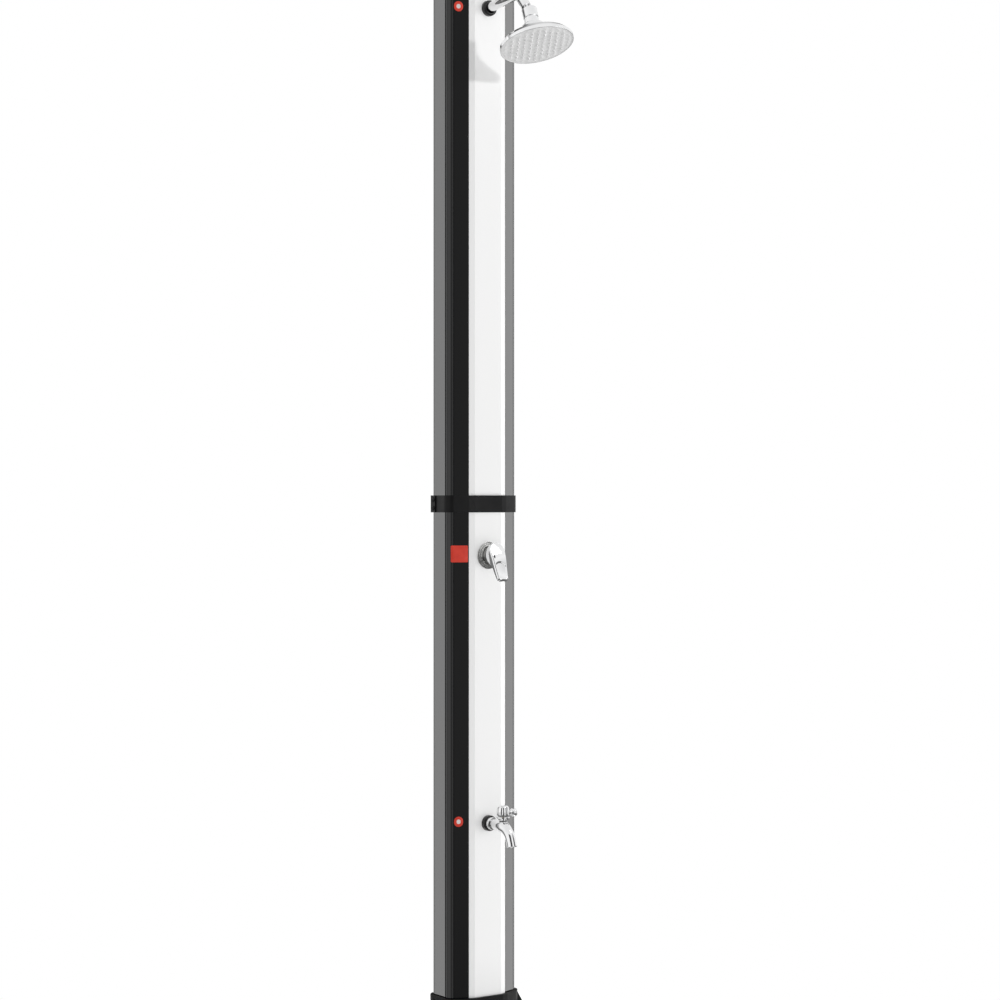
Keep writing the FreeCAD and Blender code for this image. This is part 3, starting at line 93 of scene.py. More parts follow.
def spread(tree, source, low, high, start=0.3, end=0.7):
    """Maps a pattern's middle range onto low to high."""
    mapped = node(tree, "ShaderNodeMapRange", From_Min=start, From_Max=end, To_Min=low, To_Max=high)
    tree.links.new(source, mapped.inputs["Value"])
    return mapped.outputs["Result"]


def finish_of(name, deep, pale, rough, tint_scale, rough_scale, grain=(), stretch=ROUND, **sockets):
    """A surface whose colour drifts from deep to pale and whose roughness drifts over a range. Its grain is
    layers of bump, each given as (scale, height in microns, stretch)."""
    made = bpy.data.materials.new(name)
    made.use_nodes = True
    tree = made.node_tree
    shader = tree.nodes["Principled BSDF"]
    for socket, value in sockets.items():
        shader.inputs[socket.replace("_", " ")].default_value = value
    place = tree.nodes.new("ShaderNodeTexCoord")
    tint = tree.nodes.new("ShaderNodeMix")
    tint.data_type = "RGBA"
    tint.inputs["A"].default_value = (*deep, 1)
    tint.inputs["B"].default_value = (*pale, 1)
    drift = spread(tree, clouds(tree, place, tint_scale, 4, stretch), 0, 1)
    tree.links.new(drift, tint.inputs["Factor"])
    tree.links.new(tint.outputs["Result"], shader.inputs["Base Color"])
    gloss = spread(tree, clouds(tree, place, rough_scale, 5, stretch), rough[0], rough[1])
    tree.links.new(gloss, shader.inputs["Roughness"])
    normal = None
    for scale, height, drawn in grain:
        bump = node(tree, "ShaderNodeBump", Distance=height * MICRON, Strength=1.0)
        tree.links.new(clouds(tree, place, scale, 2, drawn), bump.inputs["Height"])
        if normal is not None:
            tree.links.new(normal, bump.inputs["Normal"])
        normal = bump.outputs["Normal"]
    if normal is not None:
        tree.links.new(normal, shader.inputs["Normal"])
    made.diffuse_color = (*pale, 1)
    return made


# One finish for each material slot of the CAD. Each gives its deep and pale colour, its range of roughness,
# the scales of both patterns and its grain.
FINISHES = {
    "gloss_black": finish_of(
        "glossy_black_tank", (0.0015, 0.0016, 0.0018), (0.003, 0.003, 0.0033), (0.035, 0.085),
        5, 14, [(26, 30, UPRIGHT), (900, 1.5, ROUND)], UPRIGHT, IOR=1.27,
    ),
    "trim_black": finish_of(
        "matte_black_moulding", (0.005, 0.005, 0.0053), (0.009, 0.009, 0.0094), (0.34, 0.48),
        22, 60, [(1500, 20, ROUND), (4200, 10, ROUND)], IOR=1.25,
    ),
    "rosette_black": finish_of(
        "satin_black_ring", (0.008, 0.008, 0.0085), (0.014, 0.014, 0.0145), (0.22, 0.34),
        60, 120, [(2600, 6, ROUND)], IOR=1.42,
    ),
    "strip_white": finish_of(
        "pale_front_strip", (0.87, 0.87, 0.868), (0.90, 0.90, 0.898), (0.16, 0.26),
        3, 18, [(40, 20, UPRIGHT), (1700, 2, ROUND)], UPRIGHT, IOR=1.45,
    ),
    "chrome": finish_of(
        "bright_chrome", (0.86, 0.865, 0.87), (0.93, 0.93, 0.935), (0.02, 0.075),
        40, 70, [(130, 10, ROUND), (5200, 0.6, ROUND)], Metallic=1.0,
    ),
    "pale_plate": finish_of(
        "pale_grey_spray_face", (0.66, 0.66, 0.66), (0.72, 0.72, 0.72), (0.25, 0.38),
        60, 160, [(2400, 8, ROUND)],
    ),
    "nozzle_rubber": finish_of(
        "soft_grey_nozzles", (0.72, 0.72, 0.72), (0.80, 0.80, 0.80), (0.5, 0.62),
        120, 200, [(3200, 10, ROUND)],
    ),
    "black_rubber": finish_of(
        "black_rubber_seal", (0.012, 0.012, 0.012), (0.022, 0.022, 0.022), (0.6, 0.75),
        80, 150, [(2000, 20, ROUND)],
    ),
    "brass": finish_of(
        "turned_brass", (0.58, 0.40, 0.16), (0.72, 0.53, 0.25), (0.18, 0.34),
        50, 140, [(900, 10, TURNED)], Metallic=1.0,
    ),
    "screw_steel": finish_of(
        "stainless_screws", (0.48, 0.48, 0.49), (0.62, 0.62, 0.63), (0.2, 0.36),
        200, 420, [(2600, 6, ROUND)], Metallic=1.0,
    ),
    "tube_white": finish_of(
        "white_water_tube", (0.70, 0.70, 0.67), (0.78, 0.78, 0.75), (0.3, 0.42),
        20, 60, [(1200, 10, UPRIGHT)], UPRIGHT,
    ),
    "fitting_grey": finish_of(
        "grey_moulded_fitting", (0.085, 0.09, 0.1), (0.12, 0.125, 0.135), (0.4, 0.55),
        50, 120, [(1800, 20, ROUND)],
    ),
    "plug_black": finish_of(
        "black_end_plug", (0.014, 0.014, 0.015), (0.024, 0.024, 0.025), (0.4, 0.56),
        40, 110, [(1600, 20, ROUND)],
    ),
    "cartridge_plastic": finish_of(
        "ivory_cartridge", (0.6, 0.59, 0.54), (0.68, 0.67, 0.62), (0.32, 0.44),
        60, 140, [(1900, 10, ROUND)],
    ),
    "seat_plastic": finish_of(
        "slippery_ball_seat", (0.72, 0.72, 0.7), (0.78, 0.78, 0.76), (0.18, 0.3),
        80, 160, [(2200, 8, ROUND)],
    ),
}
CHROME = FINISHES["chrome"]

# Finishes of single pieces.
RED_VINYL = finish_of(
    "red_vinyl", (0.60, 0.030, 0.014), (0.70, 0.045, 0.022), (0.28, 0.42),
    60, 140, [(1500, 8, ROUND)],
)
PALE_VINYL = finish_of(
    "pale_vinyl", (0.68, 0.6, 0.59), (0.82, 0.77, 0.76), (0.3, 0.44),
    90, 160, [(1500, 8, ROUND)],
)
BLACK_STEEL = finish_of(
    "blackened_steel", (0.015, 0.015, 0.016), (0.03, 0.03, 0.031), (0.3, 0.45),
    150, 300, [(2200, 8, ROUND)],
)
SMOKY_CHROME = finish_of(
    "smoky_chrome", (0.46, 0.46, 0.45), (0.56, 0.56, 0.55), (0.26, 0.36),
    60, 120, [(2400, 2, ROUND)], Metallic=1.0,
)
# A darker copy of the bright chrome, whose lower colour is painted shade, so that the mixer's cover ring reads
# dark grey.
CHROME_WITH_PAINTED_SHADE = finish_of(
    "shaded_chrome", (0.68, 0.68, 0.67), (0.76, 0.76, 0.75), (0.10, 0.18),
    60, 120, [(2400, 2, ROUND)], Metallic=1.0,
)
# A near-black matt finish whose colour is painted shade inside the lever's screw recess.
SCREW_RECESS_PAINTED_SHADE = finish_of(
    "dark_screw_recess", (0.02, 0.02, 0.021), (0.04, 0.04, 0.042), (0.7, 0.8),
    150, 300, [(3000, 10, ROUND)],
)


def dress(item, material):
    """Gives an object one material."""
    item.data.materials.clear()
    item.data.materials.append(material)


for row in frame["record"]["subparts"]:
    dress(frame["nodes"][row["node"]], FINISHES[row["material_slot"]])
for name in ("collar_screws", "cap_screws"):
    dress(frame["nodes"][name], BLACK_STEEL)
dress(frame["nodes"]["cartridge_nut"], SMOKY_CHROME)


# ---------------------------------------------------------------- mesh helpers

def piece(name, points, faces, body, material):
    """A smooth mesh piece from an array of points and lists of faces, riding on a body."""
    corners = [list(map(int, face)) for face in faces]
    mesh = bpy.data.meshes.new(name)
    mesh.from_pydata(np.asarray(points, float).reshape(-1, 3).tolist(), [], corners)
    mesh.validate()
    item = bpy.data.objects.new(name, mesh)
    bpy.context.scene.collection.objects.link(item)
    mesh.polygons.foreach_set("use_smooth", np.ones(len(mesh.polygons), bool))
    mesh.update()
    dress(item, material)
    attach(item, body)
    return item


def grid_faces(rows, columns, round_rows=False, round_columns=True):
    """Quads over a grid of points stored row by row; either way round can close on itself."""
    i = np.arange(rows if round_rows else rows - 1)
    j = np.arange(columns if round_columns else columns - 1)
    i, j = [g.ravel() for g in np.meshgrid(i, j, indexing="ij")]
    up, right = (i + 1) % rows, (j + 1) % columns
    corners = [i * columns + j, i * columns + right, up * columns + right, up * columns + j]
    return np.stack(corners, 1).tolist()


def crisp(item, degrees):
    """Keeps edges sharp where faces meet at more than an angle."""
    item.data.set_sharp_from_angle(angle=math.radians(degrees))
    return item


def tidy_mesh(item, distance):
    """Merges points that lie together, drops edges left without a face and turns all faces outwards."""
    work = bmesh.new()
    work.from_mesh(item.data)
    bmesh.ops.remove_doubles(work, verts=work.verts, dist=distance)
    loose = [edge for edge in work.edges if not edge.link_faces]
    bmesh.ops.delete(work, geom=loose, context="EDGES")
    bmesh.ops.recalc_face_normals(work, faces=work.faces)
    work.to_mesh(item.data)
    work.free()
    item.data.polygons.foreach_set("use_smooth", np.ones(len(item.data.polygons), bool))
    return item


def around(columns):
    """So many angles spread evenly over a full turn."""
    return np.linspace(0, FULL_TURN, columns, endpoint=False)


def lathe(profile, columns, closed=True):
    """Turns (radius, height) points about Z: point = (r cos a, r sin a, h) for each angle a of a turn."""
    profile = np.asarray(profile, float)
    angle = around(columns)
    r, h = profile[:, 0:1], profile[:, 1:2]
    points = np.stack([r * np.cos(angle), r * np.sin(angle), h + 0 * angle], 2)
    return points, grid_faces(len(profile), columns, round_rows=closed)


def rounded(corners, steps=6):
    """A profile whose corners (x, y, radius) are replaced by arcs: each arc's points lie at the radius
    from a centre on the corner's bisector, from one tangent point to the other. A radius of 0 keeps a
    corner."""
    corners = np.asarray(corners, float)
    out = []
    for i, (x, y, radius) in enumerate(corners):
        here = np.array([x, y])
        if radius <= 0:
            out.append(here[None])
            continue
        before = corners[i - 1, :2] - here
        after = corners[(i + 1) % len(corners), :2] - here
        before, after = before / np.linalg.norm(before), after / np.linalg.norm(after)
        half = math.acos(np.clip(before @ after, -1, 1)) / 2
        middle = (before + after) / np.linalg.norm(before + after)
        centre = here + middle * radius / math.sin(half)
        first = here + before * radius / math.tan(half) - centre
        last = here + after * radius / math.tan(half) - centre
        turn = math.atan2(first[0] * last[1] - first[1] * last[0], first @ last)
        angle = math.atan2(first[1], first[0]) + turn * np.linspace(0, 1, steps)
        out.append(centre + radius * np.stack([np.cos(angle), np.sin(angle)], 1))
    return np.concatenate(out)


def rounded_mm(corners, steps=6):
    """The same for a profile in millimetres."""
    return rounded(np.array(corners, float) * MM, steps)


def resampled(outline, count):
    """The closed outline cut into equal steps by its length."""
    ring = np.concatenate([outline, outline[:1]])
    run = np.concatenate([[0], np.cumsum(np.linalg.norm(np.diff(ring, axis=0), axis=1))])
    at = np.linspace(0, run[-1], count, endpoint=False)
    return np.stack([np.interp(at, run, ring[:, 0]), np.interp(at, run, ring[:, 1])], 1)


def refined(profile, count):
    """The open profile with more points, set at equal shares of the order of the old ones."""
    old, new = np.linspace(0, 1, len(profile)), np.linspace(0, 1, count)
    return np.stack([np.interp(new, old, profile[:, 0]), np.interp(new, old, profile[:, 1])], 1)


def supported(profile, closed=True, reach=0.00015):
    """Adds a point just inside both ends of every long straight run, so that the run shades flat."""
    run = np.roll(profile, -1, axis=0) - profile
    length = np.linalg.norm(run, axis=1)
    long = length > 4 * reach
    long[-1] &= closed
    step = run * (reach / length)[:, None]
    three = np.stack([profile, profile + step, profile + run - step], 1)
    return three[np.stack([np.ones_like(long), long, long], 1)]


def smooth_step(value, start, end):
    """0 before the start and 1 after the end, with 3 t squared - 2 t cubed between, t being the share
    of the way."""
    t = np.clip((value - start) / (end - start), 0, 1)
    return t * t * (3 - 2 * t)


def eased(knots, values, at):
    """A smooth curve through knots: cubic pieces whose slopes come from the neighbouring knots."""
    slopes = np.gradient(values, knots)
    i = np.clip(np.searchsorted(knots, at) - 1, 0, len(knots) - 2)
    span = knots[i + 1] - knots[i]
    t = (at - knots[i]) / span
    return ((2 * t**3 - 3 * t**2 + 1) * values[i] + (t**3 - 2 * t**2 + t) * span * slopes[i]
            + (3 * t**2 - 2 * t**3) * values[i + 1] + (t**3 - t**2) * span * slopes[i + 1])


def turned_x(points, angle):
    """Turns points about the X axis by the right-hand rule."""
    p, c, s = np.asarray(points, float), math.cos(angle), math.sin(angle)
    return np.stack([p[..., 0], c * p[..., 1] - s * p[..., 2], s * p[..., 1] + c * p[..., 2]], -1)


def to_front(points, height):
    """Local Z becomes forwards from the front face, local Y becomes up."""
    p = np.asarray(points, float)
    return np.stack([p[..., 0], FRONT_Y - p[..., 2], p[..., 1] + height], -1)


def to_back(points, height):
    """Local Z becomes backwards from the back face, local Y becomes up."""
    p = np.asarray(points, float)
    return np.stack([p[..., 0], BACK_Y + p[..., 2], p[..., 1] + height], -1)


def to_lever(points):
    """Local Z is the lever's outward side, local Y runs up along it, and 0 is the lift axis."""
    return turned_x(points, math.pi / 2 - LEVER_SLOPE) + LEVER_PIVOT


def to_head(points):
    """Local Z is the head's axis, with 0 at the centre of its face."""
    return turned_x(np.asarray(points, float) - [0, 0, FACE_TO_BALL], -HEAD_LEAN) + BALL


def to_tap_stem(points, rise=0.0):
    """Local Z is the foot tap's stem, with 0 at the height of its body's axis."""
    return np.asarray(points, float) + [0, TAP_STEM_Y, TAP_Z + rise]


# ---------------------------------------------------------------- mixer

def mixer_cover_ring():
    """Three rounded steps up to a bore: a turned ring with a fine groove between each two steps."""
    profile = rounded_mm([
        (18.35, 0.05, 0), (28.0, 0.05, 0.3), (28.0, 2.9, 0.9), (25.6, 2.9, 0.2), (25.3, 2.5, 0.2),
        (25.0, 2.5, 0.2), (24.8, 3.4, 0.2), (24.9, 5.3, 0.6), (22.5, 5.3, 0.2), (22.2, 5.0, 0.2),
        (21.9, 5.0, 0.2), (21.7, 5.9, 0.2), (21.6, 7.55, 0.6), (18.35, 7.55, 0.4),
    ])
    points, faces = lathe(supported(profile), 128)
    # The ring wears the darker copy of the chrome, whose colour is painted shade.
    ring = piece("mixer_cover_ring", to_front(points, MIXER_Z), faces, "post", CHROME_WITH_PAINTED_SHADE)
    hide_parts("mixer_rosette")
    return crisp(ring, 35)


# The lever's outline, seen from its outward side. It is widest over the cap, and 0 is the lift axis.
CAP_HALF_WIDTH, CAP_END, CAP_CORNER = 0.0208, 0.0208, 0.0190
TIP_HALF_WIDTH, TIP_END, TIP_CORNER = 0.0122, -0.0622, 0.0050
FLANK_TAPER = (CAP_HALF_WIDTH - TIP_HALF_WIDTH) / (CAP_END - TIP_END)
LEVER_EDGE = rounded([
    (0.0, TIP_END, 0), (TIP_HALF_WIDTH, TIP_END, TIP_CORNER), (CAP_HALF_WIDTH, CAP_END, CAP_CORNER),
    (-CAP_HALF_WIDTH, CAP_END, CAP_CORNER), (-TIP_HALF_WIDTH, TIP_END, TIP_CORNER),
], 22)
LEVER_BEND = 0.0032
LEVER_THINNEST = 0.0012


def lever_front(x, y):
    """Height of the lever's outer face: a low dome over the cap that falls towards the tip, less a
    leaf-shaped panel that is set in below a curved crease and inside a margin along both flanks."""
    top, cap_fall, cap_run, tip_fall, side_curve = 0.0217, 0.0016, 0.020, 0.0060, 3.6
    panel_depth, panel_top, panel_middle, panel_curve = 0.0013, -0.0225, -0.002, 42
    flank_margin, crease_width, flank_width = 0.0030, 0.0024, 0.0016
    face = top - cap_fall * (np.clip(y, 0, None) / cap_run) ** 2 - tip_fall * smooth_step(-y, 0.004, 0.060)
    face = face - side_curve * x ** 2
    crease = smooth_step(panel_top - panel_curve * (x - panel_middle) ** 2 - y, 0.0, crease_width)
    half_width = CAP_HALF_WIDTH + (y - CAP_END) * FLANK_TAPER
    flank = smooth_step(half_width - flank_margin - np.abs(x), 0.0, flank_width)
    return face - panel_depth * crease * flank


def lever_under(x, y):
    """Height of the underside: the highest of a flat floor that drops under the cap, a plane that stays
    upright ahead of the cover ring, and a ball that clears the dome nut."""
    ring_gap, nut_radius, floor_height, floor_drop = 0.0026, 0.01665, 0.0082, 0.0075
    upright = (ring_gap + math.sin(LEVER_SLOPE) * y) / math.cos(LEVER_SLOPE)
    floor = floor_height - floor_drop * smooth_step(y, -0.034, -0.010)
    ball = np.sqrt(np.clip(nut_radius ** 2 - x ** 2 - y ** 2, 0, None))
    return np.maximum(np.maximum(upright, floor), ball)


def mixer_lever_casting():
    """Rings between the outline and a spine on the axis: point = spine + (outline - spine) * share. The
    rings run over the underside, up the side wall, round the upper edge on a quarter circle and over
    the face."""
    edge = resampled(LEVER_EDGE, 180)
    spine = np.stack([0 * edge[:, 0], np.clip(edge[:, 1] * 1.02 + 0.002, -0.0545, 0.0)], 1)
    reach = np.linalg.norm(edge - spine, axis=1)[None, :]
    turn = np.linspace(0, math.pi / 2, 7)[1:, None]
    under = np.linspace(0.0, 1, 16)[:, None] * np.ones_like(reach)
    wall = np.ones((4, 1)) * np.ones_like(reach)
    bend = 1 - LEVER_BEND * (1 - np.cos(turn)) / reach
    top = np.linspace(1, 0.0, 42)[1:, None] * bend[-1:]
    share = np.concatenate([under, wall, bend, top])
    x, y = np.moveaxis(spine + (edge - spine) * share[..., None], -1, 0)
    high = lever_front(x, y)
    low = np.minimum(lever_under(x, y), high - LEVER_THINNEST)
    wall_at, bend_at, top_at = np.cumsum([len(under), len(wall), len(bend)])
    wall_foot, rim = low[wall_at], high[top_at - 1]
    wall_top = np.maximum(rim - LEVER_BEND, wall_foot + 0.0004)
    z = high.copy()
    z[:wall_at] = low[:wall_at]
    z[wall_at:bend_at] = wall_foot + (wall_top - wall_foot) * np.linspace(0.15, 1, len(wall))[:, None]
    z[bend_at:top_at] = wall_top + (rim - wall_top) * np.sin(turn)
    points = to_lever(np.stack([x, y, z], 2))
    lever = piece("mixer_lever_casting", points, grid_faces(len(points), len(edge)), "mixer_lever", CHROME)
    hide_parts("mixer_lever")
    return crisp(tidy_mesh(lever, 20 * MICRON), 50)


def lever_screw_plug():
    """A small oval in the screw recess on the lever's left flank, whose near-black colour is painted shade of the
    recess: ovals centre + share * (half width cos a, half length sin a) that start at a sunk middle, and then
    shrink inwards while they rise a little."""
    angle = around(40)
    share = np.array([0.0001, 1.0, 0.9, 0.8, 0.5, 0.0001])[:, None]
    rise = np.array([-0.4, -0.4, 0.1, 0.15, 0.2, 0.2])[:, None] * MM
    x = -0.0120 + 0.0021 * share * np.cos(angle)
    y = -0.0118 + 0.0042 * share * np.sin(angle)
    points = to_lever(np.stack([x, y, lever_front(x, y) + rise], 2))
    # Its near-black finish is painted shade inside the screw recess.
    recess_shade = piece("lever_screw_plug", points, grid_faces(len(share), len(angle)), "mixer_lever", SCREW_RECESS_PAINTED_SHADE)
    return crisp(tidy_mesh(recess_shade, 2 * MICRON), 50)


mixer_cover_ring()
lever_casting = mixer_lever_casting()
lever_screw_plug()


# ---------------------------------------------------------------- shower head

# The nozzles stand on a triangular lattice: its pitch, the direction of its columns and its rings.
PITCH = 0.015
COLUMN = np.array([0.5, math.sqrt(0.75)])
NOZZLE_RINGS = 4
FACE_RADIUS = 0.0700
FACE_LEVEL = 0.00095
RIB_HEIGHT = 0.0009
RIB_SWING = 0.0016


def shower_bell():
    """The bell: a turned shell from a thin rim over a hollow shoulder to the neck, with a beaded neck."""
    profile = rounded_mm([
        (74.05, 0.3, 0.1), (74.85, 0.3, 0.4), (74.85, 7.5, 2.6), (67.0, 15.6, 7), (45.0, 25.0, 30),
        (23.5, 39.0, 8), (22.3, 45.4, 1.6), (16.4, 46.6, 0.6), (14.8, 50.0, 1), (14.2, 61.4, 0.3),
        (13.2, 61.4, 0.1), (13.2, 70.0, 0.4), (7.5, 70.0, 0.4), (7.5, 44.0, 2), (44.0, 22.6, 30),
        (66.0, 13.2, 6), (72.6, 6.3, 2), (72.6, 4.0, 0.2), (74.05, 4.0, 0.1),
    ], 9)
    points, faces = lathe(supported(profile), 160)
    bell = piece("shower_bell", to_head(points), faces, "shower_head", CHROME)
    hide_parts("head_shell")
    return crisp(tidy_mesh(bell, 2 * MICRON), 40)


def spray_places():
    """Nozzle centres: whole steps i and j along two sides of the lattice, kept where neither i, j nor
    their sum goes past the number of rings, which cuts a hexagon."""
    steps = np.arange(-NOZZLE_RINGS, NOZZLE_RINGS + 1)
    i, j = np.meshgrid(steps, steps, indexing="ij")
    inside = np.abs(i + j) <= NOZZLE_RINGS
    return PITCH * (i[inside][:, None] * np.array([1.0, 0.0]) + j[inside][:, None] * COLUMN)


def spray_relief(x, y):
    """Soft wavy ribs along the lattice's columns: a raised cosine across them, squared, whose middle line
    swings by a sine along them, fading near the edge."""
    along = x * COLUMN[0] + y * COLUMN[1]
    across = x * COLUMN[1] - y * COLUMN[0] + RIB_SWING * np.sin(FULL_TURN * along / PITCH)
    rib = (0.5 + 0.5 * np.cos(FULL_TURN * across / (PITCH * COLUMN[1]))) ** 2
    return rib * (1 - smooth_step(np.hypot(x, y), FACE_RADIUS - 0.0025, FACE_RADIUS - 0.0002))


def spray_face():
    """The face: a disc of rings lowered by the ribs, with a shallow channel, a rounded edge and a back."""
    rim = rounded_mm([
        (70.5, 0.95, 0), (71.6, 0.95, 0.2), (72.0, 1.2, 0.2), (72.6, 1.2, 0.2), (73.0, 0.35, 0.2),
        (74.0, 0.35, 0.2), (74.0, 3.9, 0.3), (0.001, 3.9, 0),
    ])
    radius = np.linspace(MICRON, FACE_RADIUS, 90)
    disc = np.stack([radius, np.full(len(radius), FACE_LEVEL)], 1)
    points, faces = lathe(np.concatenate([disc, supported(rim, closed=False)]), 256)
    x, y, z = np.moveaxis(points, -1, 0)
    points[..., 2] = z - RIB_HEIGHT * spray_relief(x, y) * (z < 2 * MM)
    face = piece("spray_face", to_head(points), faces, "shower_head", FINISHES["pale_plate"])
    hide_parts("nozzle_plate")
    return crisp(tidy_mesh(face, 20 * MICRON), 60)


def spray_nozzles():
    """One soft nozzle, with a foot, a taper and a dimple, turned about its own axis and repeated at every
    place."""
    profile = MM * np.array([
        (0.001, 0.95), (2.2, 0.95), (2.2, 0.25), (1.8, 0.0), (1.5, -1.7), (1.2, -2.5), (0.6, -2.5),
        (0.5, -1.2), (0.001, -1.1),
    ])
    one, faces = lathe(profile, 20, closed=False)
    one, faces = one.reshape(1, -1, 3), np.array(faces)
    places = spray_places()
    points = one + np.pad(places, ((0, 0), (0, 1)))[:, None, :]
    first = one.shape[1] * np.arange(len(places))
    all_faces = (faces[None, :, ::-1] + first[:, None, None]).reshape(-1, 4)
    nozzles = piece("spray_nozzles", to_head(points), all_faces, "shower_head", FINISHES["nozzle_rubber"])
    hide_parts("nozzle_mat")
    return crisp(tidy_mesh(nozzles, 10 * MICRON), 40)


head_pieces = [shower_bell(), spray_face(), spray_nozzles()]


# ---------------------------------------------------------------- foot tap and hose inlet

def squares_to(line):
    """Unit vectors in the YZ plane that stand square to a line's points."""
    along = np.gradient(line, axis=0)
    along = along / np.linalg.norm(along, axis=1)[:, None]
    return np.stack([-along[:, 1], along[:, 0]], 1)


def swept(centres, normals, radii, columns):
    """A tube in the YZ plane: each ring is centre + r cos a X + r sin a N, N being the normal there."""
    angle = around(columns)
    r = radii[:, None]
    y = centres[:, 0:1] + r * np.sin(angle) * normals[:, 0:1]
    z = centres[:, 1:2] + r * np.sin(angle) * normals[:, 1:2]
    return np.stack([r * np.cos(angle), y, z], 2)


def foot_tap_casting():
    """The cast body: circles swept along a line through the valve's belly and down the spout, with the
    radius easing between the stations, a rounded lip at the mouth and a bore that runs back up inside."""
    ahead = MM * np.array([11.0, 20, 31, 43, 55, 66, 75, 80.2, 82.6, 85.2])
    drop = MM * np.array([0.0, 0, 0.2, 0.8, 2.4, 7.2, 15.2, 24.5, 31.0, 39.4])
    radius = MM * np.array([9.6, 9.8, 11.4, 13.2, 13.2, 11.6, 10.7, 10.2, 10.0, 10.3])
    bore, bore_rings = 6.4 * MM, 15
    knots = np.concatenate([[0], np.cumsum(np.hypot(np.diff(ahead), np.diff(drop)))])
    at = np.linspace(0, knots[-1], 90)
    line = np.stack([FRONT_Y - eased(knots, ahead, at), TAP_Z - eased(knots, drop, at)], 1)
    r = eased(knots, radius, at)
    normals = squares_to(line)
    lip_radii = r[-1] * np.array([0.985, 0.93, 0.82, 0.70])
    lip = line[-1] + (line[-1] - line[-2]) * np.array([0.35, 0.7, 0.85, 0.7])[:, None]
    back = np.arange(len(at) - 1, len(at) - 1 - bore_rings, -1)
    end = back[-1:]
    centres = np.concatenate([line[:1], line, lip, line[back], line[end]])
    facing = np.concatenate([normals[:1], normals, np.repeat(normals[-1:], len(lip), 0), normals[back],
                             normals[end]])
    radii = np.concatenate([[POLE], r, lip_radii, np.full(bore_rings, bore), [POLE]])
    points = swept(centres, facing, radii, 72)
    faces = grid_faces(*points.shape[:2])
    casting = piece("foot_tap_casting", points, faces, "post", CHROME)
    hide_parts("tap_body")
    return crisp(tidy_mesh(casting, 2 * MICRON), 50)


def foot_tap_collar():
    """The collar against the black ring: a turned band with two grooves and a rounded front edge."""
    profile = rounded_mm([
        (9.0, 10.9, 0), (12.8, 10.9, 0.3), (12.8, 13.0, 0.2), (12.2, 13.2, 0.15), (12.2, 13.6, 0.15),
        (12.8, 13.8, 0.2), (12.8, 15.4, 0.2), (12.2, 15.6, 0.15), (12.2, 16.0, 0.15), (12.8, 16.2, 0.2),
        (12.4, 18.2, 1.0), (9.0, 18.6, 0),
    ], 5)
    points, faces = lathe(supported(profile), 96)
    collar = piece("foot_tap_collar", to_front(points, TAP_Z), faces, "post", CHROME)
    return crisp(tidy_mesh(collar, 2 * MICRON), 50)


def foot_tap_bonnet():
    """The cup over the valve: a turned flare from the stem to a beaded brim."""
    profile = rounded_mm([
        (0.05, 8.0, 0), (8.6, 8.0, 0.4), (9.4, 12.0, 3), (13.2, 15.6, 2.4), (13.9, 16.4, 0.5),
        (13.9, 18.2, 0.6), (12.6, 18.9, 0.4), (5.0, 19.1, 0.3), (0.05, 19.1, 0),
    ], 7)
    points, faces = lathe(supported(profile), 96)
    bonnet = piece("foot_tap_bonnet", to_tap_stem(points), faces, "post", CHROME)
    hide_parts("tap_bonnet")
    return crisp(tidy_mesh(bonnet, 2 * MICRON), 40)


def tap_hub():
    """A turned dome over a waist. Its radius dips by a cosine into eight soft finger flutes that fade
    towards the top and the foot."""
    flutes, flute_depth = 8, 0.055
    profile = refined(rounded_mm([
        (0.05, 19.7, 0), (12.2, 19.7, 0.8), (13.1, 22.6, 1.2), (13.4, 29.5, 6), (11.6, 39.0, 5),
        (8.0, 42.0, 4), (0.05, 42.4, 0),
    ], 10), 90)
    points, faces = lathe(profile, 128, closed=False)
    level = profile[:, 1:2]
    shown = smooth_step(level, 0.0225, 0.0260) * (1 - smooth_step(level, 0.0350, 0.0395))
    dip = flute_depth * shown * np.clip(np.cos(flutes * around(128)), 0, 1) ** 1.5
    points[..., :2] *= (1 - dip)[..., None]
    return to_tap_stem(points).reshape(-1, 3), np.array(faces)


def tap_grip():
    """A neck and a rounded grip, turned about a level line that runs out along X from the stem."""
    above_body = 0.0256
    profile = rounded_mm([
        (0.05, 6.0, 0), (4.4, 9.0, 0), (3.1, 16.0, 8), (3.3, 20.0, 2), (8.0, 22.0, 2), (9.2, 26.5, 3.5),
        (7.2, 31.4, 3.5), (0.05, 32.6, 0),
    ], 8)
    points, faces = lathe(profile, 72, closed=False)
    return to_tap_stem(np.roll(points, 1, axis=-1), above_body).reshape(-1, 3), np.array(faces)


def foot_tap_handle():
    """The handle: a hub and a lever grip in one casting."""
    hub, hub_faces = tap_hub()
    grip, grip_faces = tap_grip()
    points = np.concatenate([hub, grip])
    faces = np.concatenate([hub_faces, grip_faces + len(hub)])
    handle = piece("foot_tap_handle", points, faces, "tap_handle", CHROME)
    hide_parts("tap_handle")
    return crisp(tidy_mesh(handle, 120 * MICRON), 50)


